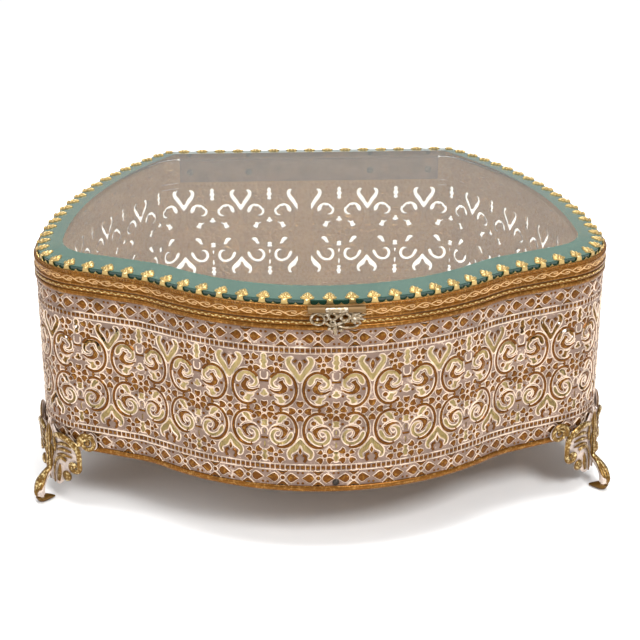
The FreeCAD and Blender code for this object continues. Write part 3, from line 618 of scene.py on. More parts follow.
# ---------------------------------------------------------------- rims swept round the plan
SWEEP_STEPS = 420
RIM_BACK = -1


def swept(name, profile, plan, angle=45, capped=False):
    """Profile of (out, height) points carried round the plan line. It is closed, unless the
    piece is capped: then its first and last points run round the edges of two flat faces."""
    piece = drawn(name, [[(height, out) for out, height in profile]], not capped, smoothed=False)
    flat = points_of(piece)
    start = np.full(len(flat), -plan["whole"] / 2)
    move_points(piece, np.column_stack((start, flat[:, 0], flat[:, 1])))
    finish_modifier(piece, "SCREW", axis="X", angle=0, screw_offset=plan["whole"], steps=SWEEP_STEPS,
                    render_steps=SWEEP_STEPS, use_smooth_shade=False)
    bent(piece, plan)
    welded(piece, 0.00001)
    if capped:
        edit(piece)
        bpy.ops.mesh.select_mode(type="EDGE")
        bpy.ops.mesh.select_all(action="DESELECT")
        bpy.ops.mesh.select_non_manifold(extend=False)
        bpy.ops.mesh.edge_face_add()
        done()
    marked(piece, "gilt", 1)
    outward(piece)
    return smooth(piece, angle)


def half_round(low, high, out, bulge=0.45, count=6):
    """Profile with a flat back and a rounded front."""
    middle, tall = (low + high) / 2, (high - low) / 2
    front = [(out - tall * bulge * (1 - cos(t)), middle + tall * sin(t))
             for t in (radians(-90 + 180 * k / count) for k in range(count + 1))]
    return [(RIM_BACK, low)] + front + [(RIM_BACK, high)]


def repeated(unit, name, plan, count, height):
    """Flat unit set out in even steps all the way round and bent to the plan."""
    pitch = plan["whole"] / count
    finish_modifier(unit, "ARRAY", count=count, use_relative_offset=False, use_constant_offset=True,
                    constant_offset_displace=(pitch, 0, 0))
    unit.name = unit.data.name = name
    return bent(moved(unit, y=height), plan)


RIM_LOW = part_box("body_top_rim")[0].z / MM
LEAF_PITCHES = 236


def case_rims():
    """Rolled bottom edge, and the top edge: a plain bead under a lip stamped with a leaf chain."""
    bottom_low, bottom_top = (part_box("body_bottom_rim")[k].z / MM for k in (0, 1))
    bottom = swept("case_bottom_rim", half_round(bottom_low, bottom_top, 0), RIM)
    top = swept("case_top_bead", half_round(RIM_LOW, RIM_LOW + 2.0, 0), RIM)
    lip = half_round(RIM_LOW + 2.15, WALL_TOP, -0.22, 0.2)
    band = marked(swept("case_top_lip", lip, RIM), "gilt", 0.6)
    pitch = RIM["whole"] / LEAF_PITCHES
    leaf = [(0, 0), (0.5, 0.42), (1.2, 0.5), (1.9, 0.1), (1.3, -0.2), (0.6, -0.2)]
    pair = [turned(leaf, 0, 0, 14), turned(leaf, pitch / 2, 0.25, -22, 0.9)]
    unit = moved(domes("leaf", pair, 0.16, 0.1, 0.75, detail=1), out=-0.26)
    chain = repeated(unit, "case_leaf_chain", RIM, LEAF_PITCHES, RIM_LOW + 3.0)
    for piece in (top, band, chain):
        cleared(piece, ceiling=NOTCH_LOW)
    return bottom, top, band, smooth(chain)


LID_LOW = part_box("lid_rim")[0].z / MM
LID_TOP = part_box("lid_rim")[1].z / MM
VINES = 62
TEETH = 560


def lid_band():
    """Lid rim: plain lower bead, sunk band with a vine, thin bead, and a milled lip on top."""
    back = -1.2
    profile = [(back, LID_LOW), (-0.3, LID_LOW), (-0.06, LID_LOW + 0.25), (0, LID_LOW + 0.6),
               (-0.08, LID_LOW + 1.0), (-0.5, LID_LOW + 1.2), (-0.62, LID_LOW + 2.4), (-0.55, LID_LOW + 3.8),
               (-0.2, LID_LOW + 4.0), (-0.12, LID_LOW + 4.25), (-0.2, LID_LOW + 4.5), (-0.45, LID_LOW + 4.65),
               (-0.45, LID_TOP - 0.1), (-0.6, LID_TOP), (back, LID_TOP)]
    rim = swept("rim", profile, LID)
    pitch = LID["whole"] / VINES
    vine = [(pitch * k / 8, 1.05 * sin(2 * pi * k / 8)) for k in range(9)]
    curl = [(0, 0), (0.16, 0.75), (0.3, 0.9), (0.4, 0.35), (0.32, -0.05), (0.22, 0.3)]
    curls = [[(pitch * (start + x), side * y) for x, y in curl] for start, side in ((0.5, 1), (0, -1))]
    lines = ridges("vine", [vine] + curls, 0.24, rise=1.3)
    leaf = [(0, 0), (0.5, 0.3), (1.2, 0), (0.5, -0.3)]
    leaves = domes("leaves", [turned(leaf, pitch * 0.08, 0.6, 60), turned(leaf, pitch * 0.42, 0.7, 10),
                              turned(leaf, pitch * 0.58, -0.6, -60), turned(leaf, pitch * 0.92, -0.7, -170)],
                   0.14, 0.08, 0.5, detail=1)
    unit = moved(joined("unit", lines, leaves), out=-0.62)
    vines = repeated(unit, "vines", LID, VINES, LID_LOW + 2.55)
    tooth = domes("tooth", [[(0, 0), (0.75, 0), (0.75, 0.95), (0, 0.95)]], 0.28, 0.22, 0.7, smoothed=False)
    teeth = repeated(moved(tooth, out=-0.47), "teeth", LID, TEETH, LID_LOW + 4.75)
    band = cleared(joined("lid_band", rim, vines, teeth), floor=NOTCH_TOP)
    return smooth(band)


PRONGS = 82
CROWN_SLOPE = radians(10.3)


def prong_row():
    """Scalloped strip round the glass: a pointed tooth between prongs, each prong a crown folded
    down on the bevel."""
    pitch = LID["whole"] / PRONGS
    half = pitch / 2
    base, fold = LID_LOW + 0.7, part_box("glass_panel")[0].z / MM + 2.45
    strip_low = base - fold
    side = [(0, strip_low), (half, strip_low), (half, -1.0), (half - 0.25, -1.35), (half - 0.6, -1.7),
            (half - 1.2, -1.95), (2.2, -1.95), (1.65, -1.75), (1.3, -1.3), (1.15, -0.5), (1.15, 0.9),
            (1.6, 1.15), (2.35, 1.3), (2.75, 1.9), (2.6, 2.6), (2.0, 2.95), (2.0, 3.6), (1.7, 4.3),
            (1.2, 4.6), (0.9, 5.2), (0.4, 5.6), (0, 5.7)]
    sheet = welded(drawn("strip", [whole(side)], True, smoothed=False, fill=True), 0.001)
    edit(sheet)
    for height in (0.0, 0.5, 1.3, 2.1, 3.2):
        cut(UP, height)
    for x in (-2.2, 0.0, 2.2):
        cut(ACROSS, x)
    done()
    finish_modifier(sheet, "SOLIDIFY", thickness=0.35, offset=-1)
    lobe = [(0, 0.1), (0.42, 0.7), (0.45, 1.5), (0, 2.1), (-0.45, 1.5), (-0.42, 0.7)]
    lobes = [turned(lobe, 0, 3.0, 0, 1.2)]
    for x, y, angle, size in ((0.45, 1.5, -62, 1.05), (0.55, 2.2, -28, 1.1)):
        lobes += [turned(lobe, x, y, angle, size), turned(lobe, -x, y, -angle, size)]
    lobes += [round_line(0, 1.7, 0.5, 8), [(-1.1, 0.1), (1.1, 0.1), (1.1, 0.6), (-1.1, 0.6)]]
    crown = domes("crown", lobes, 0.3, 0.14)
    marked(sheet, "gilt", 0.6)
    unit = joined("prong", sheet, crown)
    flat = points_of(unit)
    over = flat[:, 1] > 0
    y, z = flat[over, 1].copy(), flat[over, 2].copy()
    flat[over, 1] = y * sin(CROWN_SLOPE) + z * cos(CROWN_SLOPE)
    flat[over, 2] = -y * cos(CROWN_SLOPE) + z * sin(CROWN_SLOPE)
    move_points(unit, flat)
    return smooth(repeated(moved(unit, out=-1.2), "prongs", LID, PRONGS, fold), 50)


GLASS_INSET = 1.9
GLASS_EDGE = 2.3
BEVEL = 10.3


def glass():
    """Plate with a wide polished bevel that follows the plan."""
    low, top = (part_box("glass_panel")[k].z / MM for k in (0, 1))
    profile = [(-GLASS_INSET - 0.4, low), (-GLASS_INSET, low + 0.3), (-GLASS_INSET, low + GLASS_EDGE - 0.2),
               (-GLASS_INSET - 0.2, low + GLASS_EDGE), (-GLASS_INSET - BEVEL, top - 0.02),
               (-GLASS_INSET - BEVEL - 0.1, top)]
    return swept("glass_plate", profile, LID, capped=True, angle=4)


def lining():
    """Cloth-covered card on the floor, its edge turned over softly."""
    low, top = (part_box("floor_lining")[k].z / MM for k in (0, 1))
    inset = 3.2
    profile = [(-inset - 0.6, low), (-inset - 0.1, low + 0.3), (-inset, low + 1.4), (-inset - 0.3, low + 2.3),
               (-inset - 0.9, low + 2.9), (-inset - 2.0, low + 3.2)]
    piece = swept("floor_cloth", profile, RIM, capped=True, angle=60)
    crown = max(piece.data.polygons, key=lambda face: face.center.z).index
    edit(piece)
    bpy.ops.mesh.select_all(action="DESELECT")
    done()
    piece.data.polygons[crown].select = True
    bpy.ops.object.mode_set(mode="EDIT")
    for k in range(3):
        bpy.ops.mesh.inset(thickness=2.0 * MM, depth=(0.12 - 0.04 * k) * MM)
    done()
    return marked(piece, "gilt", 0)


# ---------------------------------------------------------------- cast pieces
def cast(name, runs, sides=2):
    """Tapered round bars. A run is a list of (x, y, out, radius) points, in millimetres."""
    return marked(drawn(name, runs, False, radius=1, sides=sides, detail=4), "gilt", 1)


def coil(x, y, out, first, turns, start, stop, thick, thin, hand=1, count=12):
    """Spiral run from an outer radius to an inner one, its bar getting thinner."""
    run = []
    for k in range(count + 1):
        share = k / count
        angle = radians(first + hand * 360 * turns * share)
        reach = start + (stop - start) * share
        run.append((x + reach * cos(angle), y + reach * sin(angle), out + 0.5 * share,
                    thick + (thin - thick) * share))
    return run


KNOB_FLAT = 0.85


def knob(x, y, out, radius, segments=14):
    """Low round boss."""
    bpy.ops.mesh.primitive_uv_sphere_add(segments=segments, ring_count=segments // 2 + 1, radius=radius,
                                         location=(x, y, out))
    ball = bpy.context.object
    ball.scale = (1, 1, KNOB_FLAT)
    bpy.ops.object.transform_apply(location=True, rotation=True, scale=True)
    return marked(ball, "gilt", 1)


FOOT_OUT = 0.2
FOOT_FLAT = 0.62
TOE_SPLAY = 4.0  # how far a front toe turns forwards from its corner, a rear one half as far back


def foot_sides():
    """Scrollwork that lies on the wall each side of a foot's ridge."""
    ground = [(0.2, 33.6), (4.2, 30.6), (8.4, 31.0), (13.0, 29.4), (16.4, 28.8), (21.0, 33.6), (24.4, 31.6),
              (24.6, 28.0), (21.4, 26.4), (17.6, 26.0), (17.2, 21.0), (16.6, 17.4), (14.0, 15.8),
              (11.6, 14.6), (10.6, 11.2), (7.6, 9.6), (4.6, 6.6), (1.8, 5.6), (0.2, 8.0)]
    back = marked(domes("ground", [ground], 0.9, 0.35, detail=4), "gilt", 0.12)
    ring_x, ring_y = 21.0, 30.2
    ring = coil(ring_x, ring_y, 1.9, 205, 1.45, 4.0, 1.6, 1.35, 0.7, -1, 16)
    sweep = [(3.8, 29.8, 2.4, 1.1), (7.8, 31.0, 2.8, 1.5), (12.6, 29.8, 3.0, 1.65), (15.9, 27.0, 2.9, 1.5),
             (16.9, 23.0, 2.7, 1.3), (16.8, 19.6, 2.6, 1.2)]
    curl = coil(14.2, 18.0, 2.5, 10, 1.0, 2.7, 0.9, 1.25, 0.8, -1, 12)
    arch = [(10.0, 19.4, 2.0, 0.8), (7.6, 20.4, 2.6, 0.9), (5.2, 19.4, 2.6, 0.8), (3.0, 16.0, 2.4, 0.6),
            (2.1, 11.0, 2.4, 0.5), (1.9, 6.8, 2.2, 0.4)]
    tear = [(6.0, 16.6, 1.4, 0.8), (5.4, 12.6, 1.5, 1.6), (4.4, 8.6, 1.4, 1.3)]
    ribs = [[(4.6, 25.6 - 2.4 * k, 1.7, 0.5), (8.4, 27.2 - 2.6 * k, 2.2, 0.95),
             (13.0, 26.6 - 2.4 * k, 1.8, 0.5)] for k in range(3)]
    ribs.append([(3.0, 28.6, 2.0, 0.7), (3.6, 25.6, 2.2, 1.0), (3.0, 22.0, 2.0, 0.6)])
    bars = cast("bars", [ring, sweep + curl, arch, tear] + ribs)
    bosses = [knob(ring_x, ring_y, 1.8, 1.2), knob(9.9, 12.4, 1.9, 2.5), knob(14.2, 18.0, 2.8, 1.0)]
    rosette = [knob(x, y, 1.4, 0.75, segments=8) for x, y in round_line(ring_x, ring_y, 2.1, 5)]
    bars = joined("bars", bars, *bosses, *rosette)
    height = points_of(bars)[:, 2]
    marked(bars, "gilt", np.clip((height - 1.1) / 1.9, 0.15, 1))
    piece = mirror_x(joined("sides", back, bars), weld=False)
    flat = points_of(piece)
    flat[:, 2] = flat[:, 2] * FOOT_FLAT + FOOT_OUT
    move_points(piece, flat)
    return piece


def foot_stem():
    """Ridge over the corner, running down into a fluted leaf whose toe curls back underneath."""
    core = [(0, 36.4, 0.5, 0.35), (0, 33.0, 0.9, 0.8), (0, 28.0, 1.2, 1.1), (0, 21.0, 1.3, 1.25),
            (0, 15.4, 1.5, 1.2), (0, 12.2, 3.0, 1.3), (0, 9.6, 5.4, 1.7), (0, 6.6, 6.9, 2.1),
            (0, 3.6, 7.0, 2.0)]
    sole = [(0, 3.4, 7.4, 2.0), (0, 2.0, 6.6, 2.0), (0, 1.6, 4.6, 1.7), (0, 1.2, 2.4, 1.1),
            (0, 0.8, 0.5, 0.45)]
    ribs = []
    for x in (-0.9, 0.9):
        ribs.append([(x * 0.4, 36.0, 0.9, 0.3), (x, 31.0, 1.8, 0.45), (x * 1.1, 22.0, 2.3, 0.5),
                     (x, 14.8, 2.7, 0.45)])
        ribs.append([(x * 1.5, 24.6, 1.5, 0.35), (x * 2.9, 21.8, 1.8, 0.65), (x * 2.0, 18.0, 1.9, 0.35)])
        ribs.append([(x * 1.4, 33.0, 1.1, 0.35), (x * 2.4, 30.2, 1.4, 0.6), (x * 1.6, 26.8, 1.5, 0.35)])
    for x in (-2.5, -1.25, 0.0, 1.25, 2.5):
        back = abs(x) * 0.5
        ribs.append([(x * 0.2, 13.6, 3.0, 0.45), (x * 0.6, 11.0, 6.0 - back * 0.6, 0.75),
                     (x * 0.95, 8.0, 8.4 - back, 0.95), (x * 0.9, 5.0, 8.9 - back, 0.95),
                     (x * 0.6, 2.6, 8.0 - back, 0.75)])
    stem = cast("stem", [core, sole] + ribs, sides=3)
    edit(stem)
    cut(UP, 0, clear_inner=True, use_fill=True)
    done()
    out = points_of(stem)
    rim = 1.2 + 7.6 * np.clip((14 - out[:, 1]) / 8, 0, 1)
    sole = np.clip((4.5 - out[:, 1]) / 3, 0, 0.6)
    marked(stem, "gilt", np.clip(0.3 + 0.5 * (out[:, 2] - rim), 0.1 + sole, 1))
    return moved(stem, out=FOOT_OUT)


def corner_of(node):
    """Length along the rim's plan line at which a foot's ridge stands."""
    places = np.array([v.co for v in frame["nodes"][node].data.vertices]) / MM
    toe = places[places[:, 2] < 1][:, :2].mean(axis=0)
    tries = np.linspace(-RIM["whole"] / 2, RIM["whole"] / 2, 4001)
    place, normal = along(RIM, tries)
    gap = toe - place
    aside = np.abs(gap[:, 0] * normal[:, 1] - gap[:, 1] * normal[:, 0])
    aside[(gap * normal).sum(axis=1) < 0] = 1e9
    return tries[aside.argmin()]


def feet():
    sides, stem = foot_sides(), foot_stem()
    made = []
    for corner in ("front_right", "front_left", "rear_right", "rear_left"):
        node = f"foot_{corner}"
        spot = corner_of(node)
        lace = bent(copied(sides, "lace"), RIM, spot)
        ridge = copied(stem, "ridge")
        place, normal = along(RIM, [spot])
        (px, py), (nx, ny) = place[0], normal[0]
        flat = points_of(ridge)
        splay = (-TOE_SPLAY if py < 0 else TOE_SPLAY / 2) * np.clip((15 - flat[:, 1]) / 9, 0, 1)
        across = px - ny * flat[:, 0] + nx * flat[:, 2]
        back = py + nx * flat[:, 0] + ny * flat[:, 2] + splay
        move_points(ridge, np.column_stack((across, back, flat[:, 1])) * MM)
        foot = smooth(joined(f"cast_{node}", lace, ridge), 55)
        made.append((foot, node))
    bpy.data.objects.remove(sides)
    bpy.data.objects.remove(stem)
    return made


CLASP_MIDDLE = 2.5
CLASP_OUT = 1.45
CLASP_DROP = 1.1  # from the top of the hinge roll to the pin
CLASP_SHORTER = 0.88
CLASP_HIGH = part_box("clasp_flap")[1].z / MM


def clasp():
    """Cast openwork leaf: a scroll with a ball, two loops, a feathered leaf and a pointed drop."""
    runs = [
        coil(-7.0, -4.2, 0.5, 60, 1.1, 2.9, 2.2, 0.62, 0.45, 1, 12),
        [(-5.4, -2.6, 0.6, 0.5), (-3.8, -2.2, 0.7, 0.6), (-3.2, -3.6, 0.7, 0.55), (-4.0, -5.0, 0.6, 0.45)],
        coil(-1.7, -2.9, 0.6, 90, 1.0, 1.5, 1.5, 0.6, 0.6, 1, 10),
        coil(3.1, -3.3, 0.6, 90, 1.0, 1.65, 1.65, 0.62, 0.62, 1, 10),
        coil(-1.6, -5.6, 0.6, 90, 1.0, 0.8, 0.8, 0.45, 0.45, 1, 8),
        [(-0.4, -4.0, 0.7, 0.6), (0.7, -2.4, 0.8, 0.7), (1.8, -1.6, 0.7, 0.5)],
        [(-4.4, -6.0, 0.5, 0.5), (-2.4, -7.2, 0.7, 0.6), (0.4, -6.4, 0.8, 0.65), (2.4, -5.6, 0.7, 0.6),
         (4.6, -5.4, 0.7, 0.5)],
        [(0.6, -7.6, 0.6, 0.45), (3.6, -8.4, 0.7, 0.5), (6.8, -8.0, 0.7, 0.45), (9.0, -6.6, 0.6, 0.35)],
        [(-0.6, -6.8, 0.7, 0.6), (-0.8, -9.0, 0.7, 0.95), (-0.6, -11.0, 0.6, 0.6), (-0.4, -11.9, 0.5, 0.15)],
        [(-6.0, -1.6, 0.6, 0.5), (-1.8, -0.9, 0.7, 0.6), (3.2, -1.0, 0.7, 0.6), (7.4, -1.6, 0.6, 0.5)],
    ]
    for angle, length in ((56, 3.4), (32, 4.8), (8, 5.8), (-16, 5.8), (-40, 5.0), (-64, 4.0)):
        c, s = cos(radians(angle)), sin(radians(angle))
        runs.append([(5.2, -3.4, 0.6, 0.45), (5.2 + 0.55 * length * c, -3.4 + 0.55 * length * s, 0.75, 0.85),
                     (5.2 + length * c, -3.4 + length * s, 0.5, 0.3)])
    bars = cast("clasp_bars", runs)
    balls = [knob(-7.2, -4.3, 0.6, 0.75, segments=10), knob(-2.8, -8.9, 0.6, 0.85, segments=10),
             knob(1.6, -9.6, 0.6, 0.85, segments=10), knob(5.0, -3.4, 0.8, 0.8, segments=10)]
    roll_run = [(-4.0, 0, 0.65, 1.02), (0, 0, 0.65, 1.02), (4.0, 0, 0.65, 1.02)]
    roll = cast("roll", [roll_run], sides=4)
    piece = joined("clasp_leaf", bars, roll, *balls)
    flat = points_of(piece)
    flat[:, 1] = flat[:, 1] * CLASP_SHORTER + CLASP_HIGH - CLASP_DROP
    flat[:, 2] += CLASP_OUT
    move_points(piece, flat)
    bent(piece, LID, CLASP_MIDDLE)
    return smooth(piece, 55)


# ---------------------------------------------------------------- looks
def material(name):
    made = bpy.data.materials.new(name)
    made.use_nodes = True
    return made, made.node_tree.nodes, made.node_tree.links, made.node_tree.nodes["Principled BSDF"]


def node_group(name, inputs, outputs):
    """Empty shader group with named sockets. Returns it with its two end nodes."""
    group = bpy.data.node_groups.new(name, "ShaderNodeTree")
    for label, kind, value in inputs:
        socket = group.interface.new_socket(label, in_out="INPUT", socket_type=f"NodeSocket{kind}")
        if value is not None:
            socket.default_value = value
    for label, kind in outputs:
        group.interface.new_socket(label, in_out="OUTPUT", socket_type=f"NodeSocket{kind}")
    return group, group.nodes.new("NodeGroupInput"), group.nodes.new("NodeGroupOutput")


def maths(tree, operation, first, second=None, third=None):
    node = tree.nodes.new("ShaderNodeMath")
    node.operation = operation
    for socket, value in zip(node.inputs, (first, second, third)):
        if isinstance(value, (int, float)):
            socket.default_value = value
        elif value is not None:
            tree.links.new(value, socket)
    return node.outputs[0]


def speckle(tree, scale, detail=3):
    """Noise all through the piece."""
    place = tree.nodes.new("ShaderNodeTexCoord").outputs["Object"]
    noise = tree.nodes.new("ShaderNodeTexNoise")
    noise.inputs["Scale"].default_value = scale
    noise.inputs["Detail"].default_value = detail
    noise.inputs["Roughness"].default_value = 0.6
    tree.links.new(place, noise.inputs["Vector"])
    return noise.outputs["Fac"]


def span(tree, value, low, high, to_low=0.0, to_high=1.0):
    node = tree.nodes.new("ShaderNodeMapRange")
    node.clamp = True
    for key, number in (("From Min", low), ("From Max", high), ("To Min", to_low), ("To Max", to_high)):
        node.inputs[key].default_value = number
    tree.links.new(value, node.inputs["Value"])
    return node.outputs["Result"]


def blended(tree, share, first, second):
    node = tree.nodes.new("ShaderNodeMix")
    node.data_type = "RGBA"
    for socket, value in ((node.inputs[0], share), (node.inputs[6], first), (node.inputs[7], second)):
        if isinstance(value, (int, float, tuple)):
            socket.default_value = value
        else:
            tree.links.new(value, socket)
    return node.outputs[2]


def build_patina():
    """Old gilding over a pale wash. Where Show is low the ground is seen, its darker tone partly painted
    shade in the recesses, then the washed ridges, and where it is high the gold, with pale gold spots that
    are partly worn gilding and partly painted highlight. Grime lies over all."""
    group, start, end = node_group(
        "patina",
        [("Show", "Float", 1.0), ("ShadedGround", "Color", (0.6, 0.5, 0.5, 1)),
         ("Wash", "Color", (0.8, 0.7, 0.66, 1)), ("Gold", "Color", (0.35, 0.16, 0.03, 1)),
         ("Bright", "Color", (0.8, 0.58, 0.26, 1)), ("WearAndHighlight", "Float", 0.5)],
        [("Color", "Color"), ("Metal", "Float"), ("Rough", "Float"), ("Height", "Float")])
    show = start.outputs["Show"]
    coarse = speckle(group, 160, 2)
    fine = speckle(group, 900, 4)
    grit = speckle(group, 2600, 2)
    spread = maths(group, "MULTIPLY_ADD", maths(group, "SUBTRACT", fine, 0.5), 0.45, show)
    spread = maths(group, "MULTIPLY_ADD", maths(group, "SUBTRACT", coarse, 0.5), 0.35, spread)
    gold = span(group, spread, 0.32, 0.46)
    # painted shade: the ground in the recesses between the ridges is darker than the wash
    pale = blended(group, span(group, spread, 0.04, 0.18), start.outputs["ShadedGround"], start.outputs["Wash"])
    # painted highlight: pale gold spots on the high gold, partly worn gilding
    worn_highlight = maths(group, "MULTIPLY", span(group, fine, 0.5, 0.68), start.outputs["WearAndHighlight"])
    worn_highlight = maths(group, "MULTIPLY", worn_highlight, span(group, show, 0.7, 1.0))
    tone = blended(group, worn_highlight, start.outputs["Gold"], start.outputs["Bright"])
    tone = blended(group, gold, pale, tone)
    grime = maths(group, "MULTIPLY", span(group, grit, 0.5, 0.75), 0.18)
    tone = blended(group, grime, tone, (0.2, 0.11, 0.06, 1))
    dark = group.nodes.new("ShaderNodeVectorMath")
    dark.operation = "SCALE"
    group.links.new(tone, dark.inputs[0])
    group.links.new(span(group, coarse, 0.3, 0.7, 0.8, 1.1), dark.inputs["Scale"])
    group.links.new(dark.outputs[0], end.inputs["Color"])
    group.links.new(maths(group, "MULTIPLY_ADD", gold, 0.6, 0.1), end.inputs["Metal"])
    rough = maths(group, "MULTIPLY_ADD", fine, 0.22, span(group, gold, 0, 1, 0.42, 0.22))
    group.links.new(rough, end.inputs["Rough"])
    height = maths(group, "ADD", maths(group, "MULTIPLY", fine, 0.6), maths(group, "MULTIPLY", grit, 0.4))
    group.links.new(height, end.inputs["Height"])
    return group


PATINA = build_patina()


def attribute(tree, name):
    node = tree.nodes.new("ShaderNodeAttribute")
    node.attribute_name = name
    return node.outputs["Fac"]


GRAIN_DEEP = 0.00006


def old_gilt(name, wash, gold, worn_highlight, wear_and_highlight, show=None, inner=None, ground=None):
    """Gilt metal. Its pieces say by the point how far the gold shows, unless show is given. Its pale gold
    colour is partly worn gilding and partly painted highlight; its ground colour is partly painted shade.
    """
    made, nodes, links, shader = material(name)
    tree = made.node_tree
    patina = nodes.new("ShaderNodeGroup")
    patina.node_tree = PATINA
    # the ground colour is the recesses' own tone darkened as painted shade
    patina.inputs["ShadedGround"].default_value = (ground or wash) + (1,)
    patina.inputs["Wash"].default_value = wash + (1,)
    patina.inputs["Gold"].default_value = gold + (1,)
    patina.inputs["Bright"].default_value = worn_highlight + (1,)
    patina.inputs["WearAndHighlight"].default_value = wear_and_highlight
    if show is None:
        links.new(attribute(tree, "gilt"), patina.inputs["Show"])
    else:
        patina.inputs["Show"].default_value = show
    colour = patina.outputs["Color"]
    if inner is not None:
        # inner face: duller brass with painted gold glints from the pale gold colour
        inner_brass_and_glints = blended(tree, span(tree, speckle(tree, 700), 0.4, 0.7), inner + (1,), worn_highlight + (1,))
        colour = blended(tree, attribute(tree, "inner"), colour, inner_brass_and_glints)
    links.new(colour, shader.inputs["Base Color"])
    links.new(patina.outputs["Metal"], shader.inputs["Metallic"])
    links.new(patina.outputs["Rough"], shader.inputs["Roughness"])
    shader.inputs["Specular IOR Level"].default_value = 0.25
    knock = nodes.new("ShaderNodeBump")
    knock.inputs["Distance"].default_value = GRAIN_DEEP
    knock.inputs["Strength"].default_value = 0.8
    links.new(patina.outputs["Height"], knock.inputs["Height"])
    links.new(knock.outputs["Normal"], shader.inputs["Normal"])
    return made


def clear_glass(name, tint, clear, rough=0.0):
    """Polished glass with faint smears. The thick edges are less clear than the plate."""
    made, nodes, links, shader = material(name)
    tree = made.node_tree
    haze = speckle(tree, 60, 4)
    links.new(blended(tree, span(tree, haze, 0.35, 0.7), tint + (1,), tuple(0.9 * c for c in tint) + (1,)),
              shader.inputs["Base Color"])
    links.new(span(tree, haze, 0.45, 0.75, rough, rough + 0.006), shader.inputs["Roughness"])
    shader.inputs["IOR"].default_value = 1.5
    shader.inputs["Transmission Weight"].default_value = clear
    return made


def cloth(name, pale, deep):
    made, nodes, links, shader = material(name)
    tree = made.node_tree
    place = nodes.new("ShaderNodeTexCoord").outputs["Object"]
    threads = []
    for axis in ("X", "Y"):
        wave = nodes.new("ShaderNodeTexWave")
        wave.bands_direction = axis
        wave.inputs["Scale"].default_value = 420
        wave.inputs["Distortion"].default_value = 0.6
        links.new(place, wave.inputs["Vector"])
        threads.append(wave.outputs["Fac"])
    weave = maths(tree, "MULTIPLY", *threads)
    soiled = span(tree, speckle(tree, 22, 4), 0.4, 0.75)
    tone = blended(tree, soiled, pale + (1,), deep + (1,))
    links.new(blended(tree, maths(tree, "MULTIPLY", weave, 0.35), tone, tuple(0.6 * c for c in deep) + (1,)),
              shader.inputs["Base Color"])
    shader.inputs["Roughness"].default_value = 0.85
    shader.inputs["Sheen Weight"].default_value = 0.3
    knock = nodes.new("ShaderNodeBump")
    knock.inputs["Distance"].default_value = 0.0002
    links.new(weave, knock.inputs["Height"])
    links.new(knock.outputs["Normal"], shader.inputs["Normal"])
    return made


def dressed(piece, made):
    piece.data.materials.clear()
    piece.data.materials.append(made)
    return piece


# In each gilt look the third colour is worn gilding and painted highlight, and a ground colour is painted
# shade over the recesses' own tone.
LOOKS = {
    "filigree_gilt": old_gilt("filigree_gilt", (0.78, 0.63, 0.50), (0.115, 0.037, 0.003), (0.46, 0.23, 0.04),
                              0.55, inner=(0.58, 0.38, 0.16), ground=(0.225, 0.15, 0.115)),
    "rim_gilt": old_gilt("rim_gilt", (0.66, 0.42, 0.20), (0.16, 0.058, 0.005), (0.55, 0.32, 0.1), 0.5),
    "prong_gilt": old_gilt("prong_gilt", (0.70, 0.58, 0.36), (0.46, 0.32, 0.12), (0.9, 0.76, 0.42), 0.9),
    "foot_gilt": old_gilt("foot_gilt", (0.70, 0.58, 0.50), (0.16, 0.08, 0.015), (0.86, 0.68, 0.34), 1.0,
                          ground=(0.52, 0.43, 0.39)),
    "clasp_metal": old_gilt("clasp_metal", (0.16, 0.09, 0.03), (0.24, 0.18, 0.11), (0.70, 0.62, 0.50), 1.0),
    "rivet_heads": old_gilt("rivet_heads", (0.3, 0.28, 0.25), (0.07, 0.075, 0.07), (0.4, 0.4, 0.36),
                            0.6, show=0.9),
    "sheet_brass": old_gilt("sheet_brass", (0.4, 0.3, 0.2), (0.31, 0.215, 0.15), (0.42, 0.31, 0.21),
                            0.4, show=0.9),
    "pin_steel": old_gilt("pin_steel", (0.3, 0.28, 0.26), (0.5, 0.49, 0.46), (0.7, 0.69, 0.66),
                          0.5, show=1.0),
    "dark_screw": old_gilt("dark_screw", (0.05, 0.04, 0.035), (0.025, 0.022, 0.02), (0.12, 0.1, 0.08),
                           0.5, show=1.0),
    "glass": clear_glass("plate_glass", (0.92, 0.87, 0.78), 0.95),
    "lining": cloth("pale_cloth", (0.62, 0.49, 0.21), (0.50, 0.38, 0.14)),
}


def fitted(piece, body, slot, *nodes):
    """Gives a piece its body, its finish and the CAD nodes that it stands for."""
    dressed(piece, LOOKS[slot])
    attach(piece, body)
    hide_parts(*nodes)
    return piece


EDGE_SLOPE = 0.9
BEVEL_SLOPE = 0.9995


def green_edges(plate):
    """The bevel shows the green of the plate's thickness; the edge is near-black green, the glass's green
    with painted shade along the edge.
    """
    plate.data.materials.append(clear_glass("bevel_glass", (0.125, 0.215, 0.175), 0.5, 0.06))
    # painted shade: the plate's edge is near-black green and barely clear
    plate.data.materials.append(clear_glass("shaded_edge_glass", (0.006, 0.04, 0.026), 0.1, 0.1))
    for face in plate.data.polygons:
        if abs(face.normal.z) < EDGE_SLOPE:
            face.material_index = 2
        elif abs(face.normal.z) < BEVEL_SLOPE:
            face.material_index = 1


for row in frame["record"]["subparts"]:
    dressed(frame["nodes"][row["node"]], LOOKS[row["material_slot"]])
for node in ("hinge_rivets_body", "hinge_rivets_lid"):
    dressed(frame["nodes"][node], LOOKS["rivet_heads"])

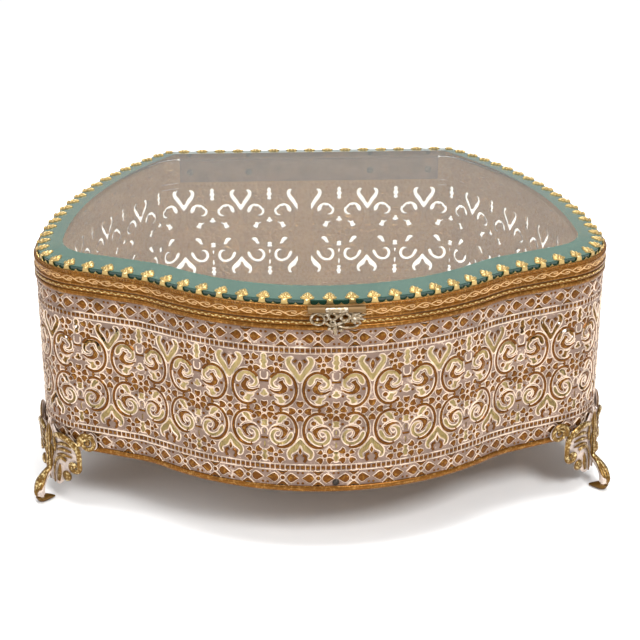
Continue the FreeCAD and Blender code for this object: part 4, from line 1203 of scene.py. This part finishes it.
for wall in filigree():
    fitted(wall, "case", "filigree_gilt", "filigree_wall")
bottom_rim, top_bead, top_lip, leaf_chain = case_rims()
fitted(bottom_rim, "case", "rim_gilt", "body_bottom_rim")
fitted(top_bead, "case", "rim_gilt", "body_top_rim")
fitted(top_lip, "case", "rim_gilt", "body_top_rim")
fitted(leaf_chain, "case", "prong_gilt", "body_top_rim")
fitted(lid_band(), "lid", "rim_gilt", "lid_rim")
fitted(prong_row(), "lid", "prong_gilt", "prong_gallery")
plate = fitted(glass(), "lid", "glass", "glass_panel")
green_edges(plate)
cloth_pad = fitted(lining(), "case", "lining", "floor_lining")
for foot, node in feet():
    fitted(foot, "case", "foot_gilt", node)
fitted(clasp(), "clasp", "clasp_metal", "clasp_flap")


# ---------------------------------------------------------------- stage, light and camera
def stage():
    bpy.ops.mesh.primitive_plane_add(size=6, location=(0, 0, 0))
    floor = bpy.context.object
    floor.name = "floor"
    made, nodes, links, shader = material("pale_floor")
    noise = nodes.new("ShaderNodeTexNoise")
    noise.inputs["Scale"].default_value = 3
    ramp = nodes.new("ShaderNodeValToRGB")
    ramp.color_ramp.elements[0].color = (0.88, 0.88, 0.88, 1)
    ramp.color_ramp.elements[1].color = (0.92, 0.92, 0.92, 1)
    coord = nodes.new("ShaderNodeTexCoord")
    links.new(coord.outputs["Object"], noise.inputs["Vector"])
    links.new(noise.outputs["Fac"], ramp.inputs["Fac"])
    links.new(ramp.outputs["Color"], shader.inputs["Base Color"])
    shader.inputs["Roughness"].default_value = 0.8
    floor.data.materials.append(made)


def lamp(name, place, target, size, power):
    light = bpy.data.lights.new(name, "AREA")
    light.shape = "SQUARE"
    light.size = size
    light.energy = power
    thing = bpy.data.objects.new(name, light)
    thing.location = place
    thing.rotation_euler = (Vector(target) - Vector(place)).to_track_quat("-Z", "Y").to_euler()
    bpy.context.collection.objects.link(thing)


def world():
    sky = bpy.data.worlds.new("studio")
    bpy.context.scene.world = sky
    sky.use_nodes = True
    back = sky.node_tree.nodes["Background"]
    back.inputs["Color"].default_value = (1, 1, 1, 1)
    back.inputs["Strength"].default_value = 0.5


CAMERA_TILT = radians(22.648)
CAMERA_TURN = radians(2.611)
CAMERA_FAR = 0.7275
CAMERA_AIM = Vector((0.000841, -0.001808, 0.05828))
CAMERA_LENS = 91.0
CAMERA_RISE = -0.0024


def camera():
    lens = bpy.data.cameras.new("camera")
    lens.lens = CAMERA_LENS
    lens.sensor_width = 36
    lens.shift_y = CAMERA_RISE
    thing = bpy.data.objects.new("camera", lens)
    level = cos(CAMERA_TILT)
    look = Vector((sin(CAMERA_TURN) * level, cos(CAMERA_TURN) * level, -sin(CAMERA_TILT)))
    thing.location = CAMERA_AIM - CAMERA_FAR * look
    thing.rotation_euler = look.to_track_quat("-Z", "Y").to_euler()
    bpy.context.collection.objects.link(thing)
    bpy.context.scene.camera = thing


bpy.context.scene.view_settings.view_transform = "Standard"
world()
stage()
lamp("key", (0.45, -0.85, 0.95), (0, 0, 0.05), 0.4, 12)
lamp("fill", (-0.9, -0.6, 0.7), (0, 0, 0.05), 0.8, 4)
lamp("top", (0.0, 0.1, 1.2), (0, 0, 0.05), 0.8, 20)
camera()
